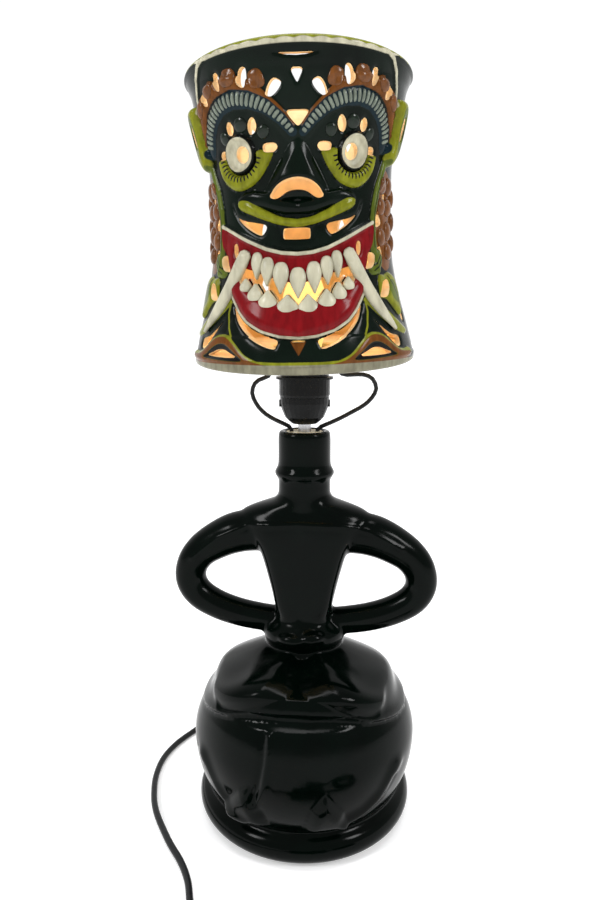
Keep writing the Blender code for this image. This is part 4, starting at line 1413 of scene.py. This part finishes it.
def patch(outline, rise, base, side):
    """A domed closed body that follows the shade: it stands on the skin's own relief, or,
    where base isn't None, at that height over the plain wall."""
    edge = np.array(outline, float)
    centre = edge.mean(0)
    count = len(edge)

    def skin(spots, out):
        u, h = unfolded(spots[:, 0], spots[:, 1], side), spots[:, 1]
        ground = relief(u, h, np.full(u.shape, FAR)) if base is None else base
        return skin_point(u, h, ground + out)

    points = [skin(edge, -PATCH_SINK)]
    for share in PATCH_RINGS:
        dome = rise * math.sqrt(max(1 - share * share, 0))
        points.append(skin(centre + (edge - centre) * share, dome))
    faces = ring_faces(len(points), count, inward=True)
    last = (len(points) - 1) * count
    top = last + count
    points.append(skin(centre[None], rise))
    faces += [(last + k, top, last + (k + 1) % count) for k in range(count)]
    return np.concatenate(points), [tuple(range(count)), *faces]


def oval(a, h, half_a, half_h, turn=0.0, corners=14, square=2.0):
    """A closed outline: an ellipse, or a squarer one, turned about its middle."""
    found = []
    c0, s0 = math.cos(math.radians(turn)), math.sin(math.radians(turn))
    for k in range(corners):
        t = math.tau * k / corners
        x = half_a * bent(math.cos(t), 2 / square)
        y = half_h * bent(math.sin(t), 2 / square)
        found.append((a + x * c0 - y * s0, h + x * s0 + y * c0))
    return found


def shade_piece(name, bodies, material):
    """Joins closed bodies, each (points, faces), into one piece on the shade."""
    points, faces, start = [], [], 0
    for more, shapes in bodies:
        points.append(more)
        faces += [tuple(i + start for i in f) for f in shapes]
        start += len(more)
    piece = mesh_piece(name, np.concatenate(points), faces, [material])
    face_outwards(piece)
    piece.data.transform(FACE_FRAME)
    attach(piece, "shade")


def patches(name, wanted, material):
    """One piece from patches, each (outline, rise, base), on both sides of the face."""
    shade_piece(name, [patch(*w, side) for w in wanted for side in SIDES], material)


def along_line(points, distance):
    """The place and direction at a distance along a polyline."""
    for (ax, ay), (bx, by) in zip(points, points[1:]):
        span = math.hypot(bx - ax, by - ay)
        if distance <= span:
            t = distance / span
            turn = math.degrees(math.atan2(by - ay, bx - ax))
            return ax + (bx - ax) * t, ay + (by - ay) * t, turn
        distance -= span
    return None


RIB_SPACING = 3.05
RIB_START = 1.0
RIB_GROWTH = 26.0  # the ribs grow longer over this distance from the nose
RIB_HALF_LENGTHS = (1.5, 2.3)  # a rib's half length at the nose, and what it grows by


def rib_patches():
    line = [(p.x, p.y) for p in catmull([(*p, 0) for p in RIB_LINE], 6)]
    found = []
    distance = RIB_START
    place = along_line(line, distance)
    while place:
        half = RIB_HALF_LENGTHS[0] + RIB_HALF_LENGTHS[1] * min(distance / RIB_GROWTH, 1.0)
        a, h, turn = place
        found.append((oval(a, h, 1.12, half, turn, 12, 3.0), 1.0, None))
        distance += RIB_SPACING
        place = along_line(line, distance)
    return found


# rounded patches: place (a, h), half width, half height, turn in degrees
BROW_LUMPS = (
    (21.8, 174.4, 4.3, 5.4, -20),
    (38.6, 177.0, 4.9, 5.2, 0),
    (54.4, 173.6, 3.8, 5.0, 20),
    (66.4, 164.4, 3.6, 5.0, 40),
)
PETALS = (
    (35.4, 151.6, 4.6, 4.6, 0),
    (20.8, 146.6, 3.8, 4.2, 40),
    (49.4, 145.6, 3.8, 4.4, -40),
)
SIDE_LUMPS = (
    (70, 117, 6.0, 5.4, 0),
    (82, 117, 5.6, 6.2, 0),
    (69, 104, 5.0, 5.4, 0),
    (81, 103.6, 6.0, 5.8, 0),
    (69, 84.6, 5.0, 6.0, 0),
    (80, 88.6, 5.6, 6.4, 0),
    (80, 75.4, 5.6, 5.6, 0),
    (91, 110, 3.4, 6.4, 0),
    (92, 95, 3.4, 6.4, 0),
    (90, 81, 3.4, 6.0, 0),
)
TICK_COUNT = 16
TICK_REACH = 14.2
TICK_START = -168.0
TICK_SPAN = 156.0
TOOTH_RISE = 3.2
UPPER_TOOTH_BASE = 0.4
LOWER_TOOTH_BASE = 3.2
SIDES = (1, -1)


def make_teeth():
    bodies = []
    for a, tip, root, half in (*UPPER_TEETH, *LOWER_TEETH):
        base = UPPER_TOOTH_BASE if root > tip else LOWER_TOOTH_BASE
        for side in SIDES[:1] if a == 0 else SIDES:
            bodies.append(patch(tooth_outline(a, tip, root, half), TOOTH_RISE, base, side))
    shade_piece("mask_teeth", bodies, MAT["teeth"])
    spine = catmull([(*p, w) for p, w in zip(TUSK_LINE, TUSK_HALF)], 5)
    shade_piece("mask_tusks", [tusk(spine, side) for side in SIDES], MAT["teeth"])


TUSK_POINTS = 16
TUSK_OUT = 1.8  # how far the tusk's middle line stands out of the plain wall
TUSK_DEPTH = 0.85  # its depth as a share of its width


def tusk(spine, side):
    """A curved round bar lying on the shade, thick at its root and pointed at its end."""
    points = []
    for k, p in enumerate(spine):
        before, after = spine[max(k - 1, 0)], spine[min(k + 1, len(spine) - 1)]
        direction = Vector((after.x - before.x, after.y - before.y)).normalized()
        grow = p.z * (0.55 if k == 0 else 1.0)
        for i in range(TUSK_POINTS):
            t = math.tau * i / TUSK_POINTS
            x = p.x + direction.y * grow * math.cos(t)
            y = p.y - direction.x * grow * math.cos(t)
            out = TUSK_OUT + TUSK_DEPTH * grow * math.sin(t)
            points.append(skin_point(unfolded(x, y, side), y, out))
    last = (len(spine) - 1) * TUSK_POINTS
    ends = [tuple(range(TUSK_POINTS)), tuple(reversed(range(last, last + TUSK_POINTS)))]
    faces = [ends[0], *ring_faces(len(spine), TUSK_POINTS, inward=True), ends[1]]
    return np.array(points), faces


def make_shade():
    shade = shade_mesh()
    shade.data.transform(FACE_FRAME)
    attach(shade, "shade")
    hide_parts("mask_shade")
    patches("mask_ribs", rib_patches(), MAT["ribs"])
    lumps = [(oval(*spot, 16, 2.6), 1.7, None) for spot in BROW_LUMPS]
    lumps += [(oval(*spot, 16, 2.4), 2.4, None) for spot in SIDE_LUMPS]
    patches("mask_lumps", lumps, MAT["brown"])
    patches("mask_petals", [(oval(*spot), 1.5, None) for spot in PETALS], MAT["dark"])
    ticks = []
    for k in range(TICK_COUNT):
        angle = math.radians(TICK_START + TICK_SPAN * k / (TICK_COUNT - 1))
        a, h = EYE[0] + TICK_REACH * math.cos(angle), EYE[1] + TICK_REACH * math.sin(angle)
        ticks.append((oval(a, h, 2.0, 0.55, math.degrees(angle), 10), 0.35, None))
    patches("eyelid_ticks", ticks, MAT["plastic"])
    make_teeth()
    make_floor()


FLOOR_HOLE = 23.0
FLOOR_LOW = 4.0
FLOOR_HIGH = 10.0
FLOOR_BEVEL = 1.2
FLOOR_STEPS = 96


def make_floor():
    """The shade's own floor, a flat ring that sits on the carrier."""
    outer = float(wall_radius(7.0)) - WALL + 0.8
    profile = (
        (outer, FLOOR_HIGH),
        (outer, FLOOR_LOW),
        (FLOOR_HOLE + FLOOR_BEVEL, FLOOR_LOW),
        (FLOOR_HOLE, FLOOR_LOW + FLOOR_BEVEL),
        (FLOOR_HOLE, FLOOR_HIGH - FLOOR_BEVEL),
        (FLOOR_HOLE + FLOOR_BEVEL, FLOOR_HIGH),
    )
    points = []
    for k in range(FLOOR_STEPS):
        a = math.tau * k / FLOOR_STEPS
        points += [(r * math.cos(a), r * math.sin(a), z) for r, z in profile]
    faces = ring_faces(FLOOR_STEPS, len(profile), closed=True)
    floor = mesh_piece("mask_floor", points, faces, [MAT["shade_inside"]])
    face_outwards(floor)
    floor.data.set_sharp_from_angle(angle=math.radians(35))
    floor.data.transform(SEAT_FRAME)
    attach(floor, "shade")


# --------------------------------------------------------------------- carried-over CAD

NODE_FINISHES = {
    "felt": ("foot_felt",),
    "stopper": ("neck_stopper",),
    "steel": (
        "threaded_tube", "stopper_washer", "stopper_nut", "terminal_screw_front",
        "terminal_screw_back", "plug_pin_front", "plug_pin_back",
    ),
    "brass": (
        "screw_shell", "centre_contact", "bulb_contact", "bulb_cap", "switch_contact_in",
        "switch_contact_out",
    ),
    "plastic": (
        "holder_cap", "holder_skirt", "bulb_insulator", "switch_base", "switch_cover",
        "switch_rocker", "switch_relief_in", "switch_relief_out", "plug_body", "plug_relief",
    ),
    "wire": ("carrier_wire_left", "carrier_wire_right", "carrier_ring"),
    "cord": ("inner_flex", "cord_grommet"),
    "ceramic": ("terminal_block",),
    "silicone": ("shade_gasket",),
    "glass": ("bulb_glass", "bulb_stem"),
    "filament": ("bulb_filament",),
}


def finish_nodes():
    for finish, names in NODE_FINISHES.items():
        for name in names:
            data = NODES[name].data
            data.materials.clear()
            data.materials.append(MAT[finish])
            data.shade_smooth()
            data.set_sharp_from_angle(angle=math.radians(32))


# -------------------------------------------------------------------- stage and lights


FLOOR_SIZE = 40.0
# The floor's glow is painted light, weaker near the lamp, so the floor round the lamp is painted
# darker.
GLOW_SPAN = (0.25, 1.6)  # the floor's glow grows between these distances from the lamp
GLOW_STRENGTHS = (0.36, 0.8)


def make_stage():
    size = FLOOR_SIZE
    corners = [(-size, -size, 0), (size, -size, 0), (size, size, 0), (-size, size, 0)]
    data = bpy.data.meshes.new("floor")
    data.from_pydata(corners, [], [(0, 1, 2, 3)])
    paper = Shader("floor_paper", (0.8, 0.8, 0.81), 0.8)
    paper.mottle(6.0, (0.79, 0.795, 0.8), (0.82, 0.82, 0.825))
    paper.shine(0.1)
    # painted light: the floor glows, more strongly the farther it lies from the lamp
    paper.main.inputs["Emission Color"].default_value = (1, 1, 1, 1)
    place = paper.node("ShaderNodeTexCoord")
    far = paper.node("ShaderNodeVectorMath", operation="LENGTH")
    paper.link(place.outputs["Object"], far.inputs[0])
    glow = paper.ramp(far.outputs["Value"], *GLOW_SPAN, *GLOW_STRENGTHS)
    paper.link(glow, paper.main.inputs["Emission Strength"])
    data.materials.append(paper.material)
    floor = link(bpy.data.objects.new("floor", data))


def area_light(name, place, size, power):
    data = bpy.data.lights.new(name, "AREA")
    data.shape = "RECTANGLE"
    data.size, data.size_y = size
    data.energy = power
    light = bpy.data.objects.new(name, data)
    light.location = place
    light.rotation_euler = (Vector(AIM) - Vector(place)).to_track_quat("-Z", "Y").to_euler()
    link(light)


AIM = (0, 0, 0.3)
KEY_SIZE = (0.26, 0.44)
TOP_SIZE = (1.1, 0.5)
BULB_MIDDLE = (0, -0.004, 0.418)
# the surroundings' strength in front of the lamp, and behind it
WORLD_STRENGTHS = (0.55, 1.05)


def make_lights():
    area_light("key_left", (-1.0, -0.7, 1.0), KEY_SIZE, 8)
    area_light("key_right", (1.0, -0.7, 1.0), KEY_SIZE, 8)
    area_light("top", (0, -0.1, 1.7), TOP_SIZE, 14)
    glow = bpy.data.lights.new("bulb_glow", "POINT")
    glow.energy = 2.9
    glow.color = (1.0, 0.64, 0.28)
    glow.shadow_soft_size = 0.012
    lamp = link(bpy.data.objects.new("bulb_glow", glow))
    lamp.location = BULB_MIDDLE
    lamp.parent = frame["bodies"]["bulb"]


def make_world():
    world = bpy.data.worlds.new("studio")
    bpy.context.scene.world = world
    world.use_nodes = True
    tree = world.node_tree
    back = tree.nodes["Background"]
    back.inputs["Color"].default_value = (1, 1, 1, 1)
    place = tree.nodes.new("ShaderNodeTexCoord")
    parts = tree.nodes.new("ShaderNodeSeparateXYZ")
    span = tree.nodes.new("ShaderNodeMapRange")
    span.inputs["From Max"].default_value = 0.5
    span.inputs["To Min"].default_value = WORLD_STRENGTHS[0]
    span.inputs["To Max"].default_value = WORLD_STRENGTHS[1]
    tree.links.new(place.outputs["Generated"], parts.inputs["Vector"])
    tree.links.new(parts.outputs["Y"], span.inputs["Value"])
    tree.links.new(span.outputs["Result"], back.inputs["Strength"])


bpy.context.scene.view_settings.view_transform = "Standard"
make_camera()
MAT = make_materials()
make_cords()
finish_nodes()
make_figure()
make_shade()
make_stage()
make_lights()
make_world()

bpy.context.view_layer.update()
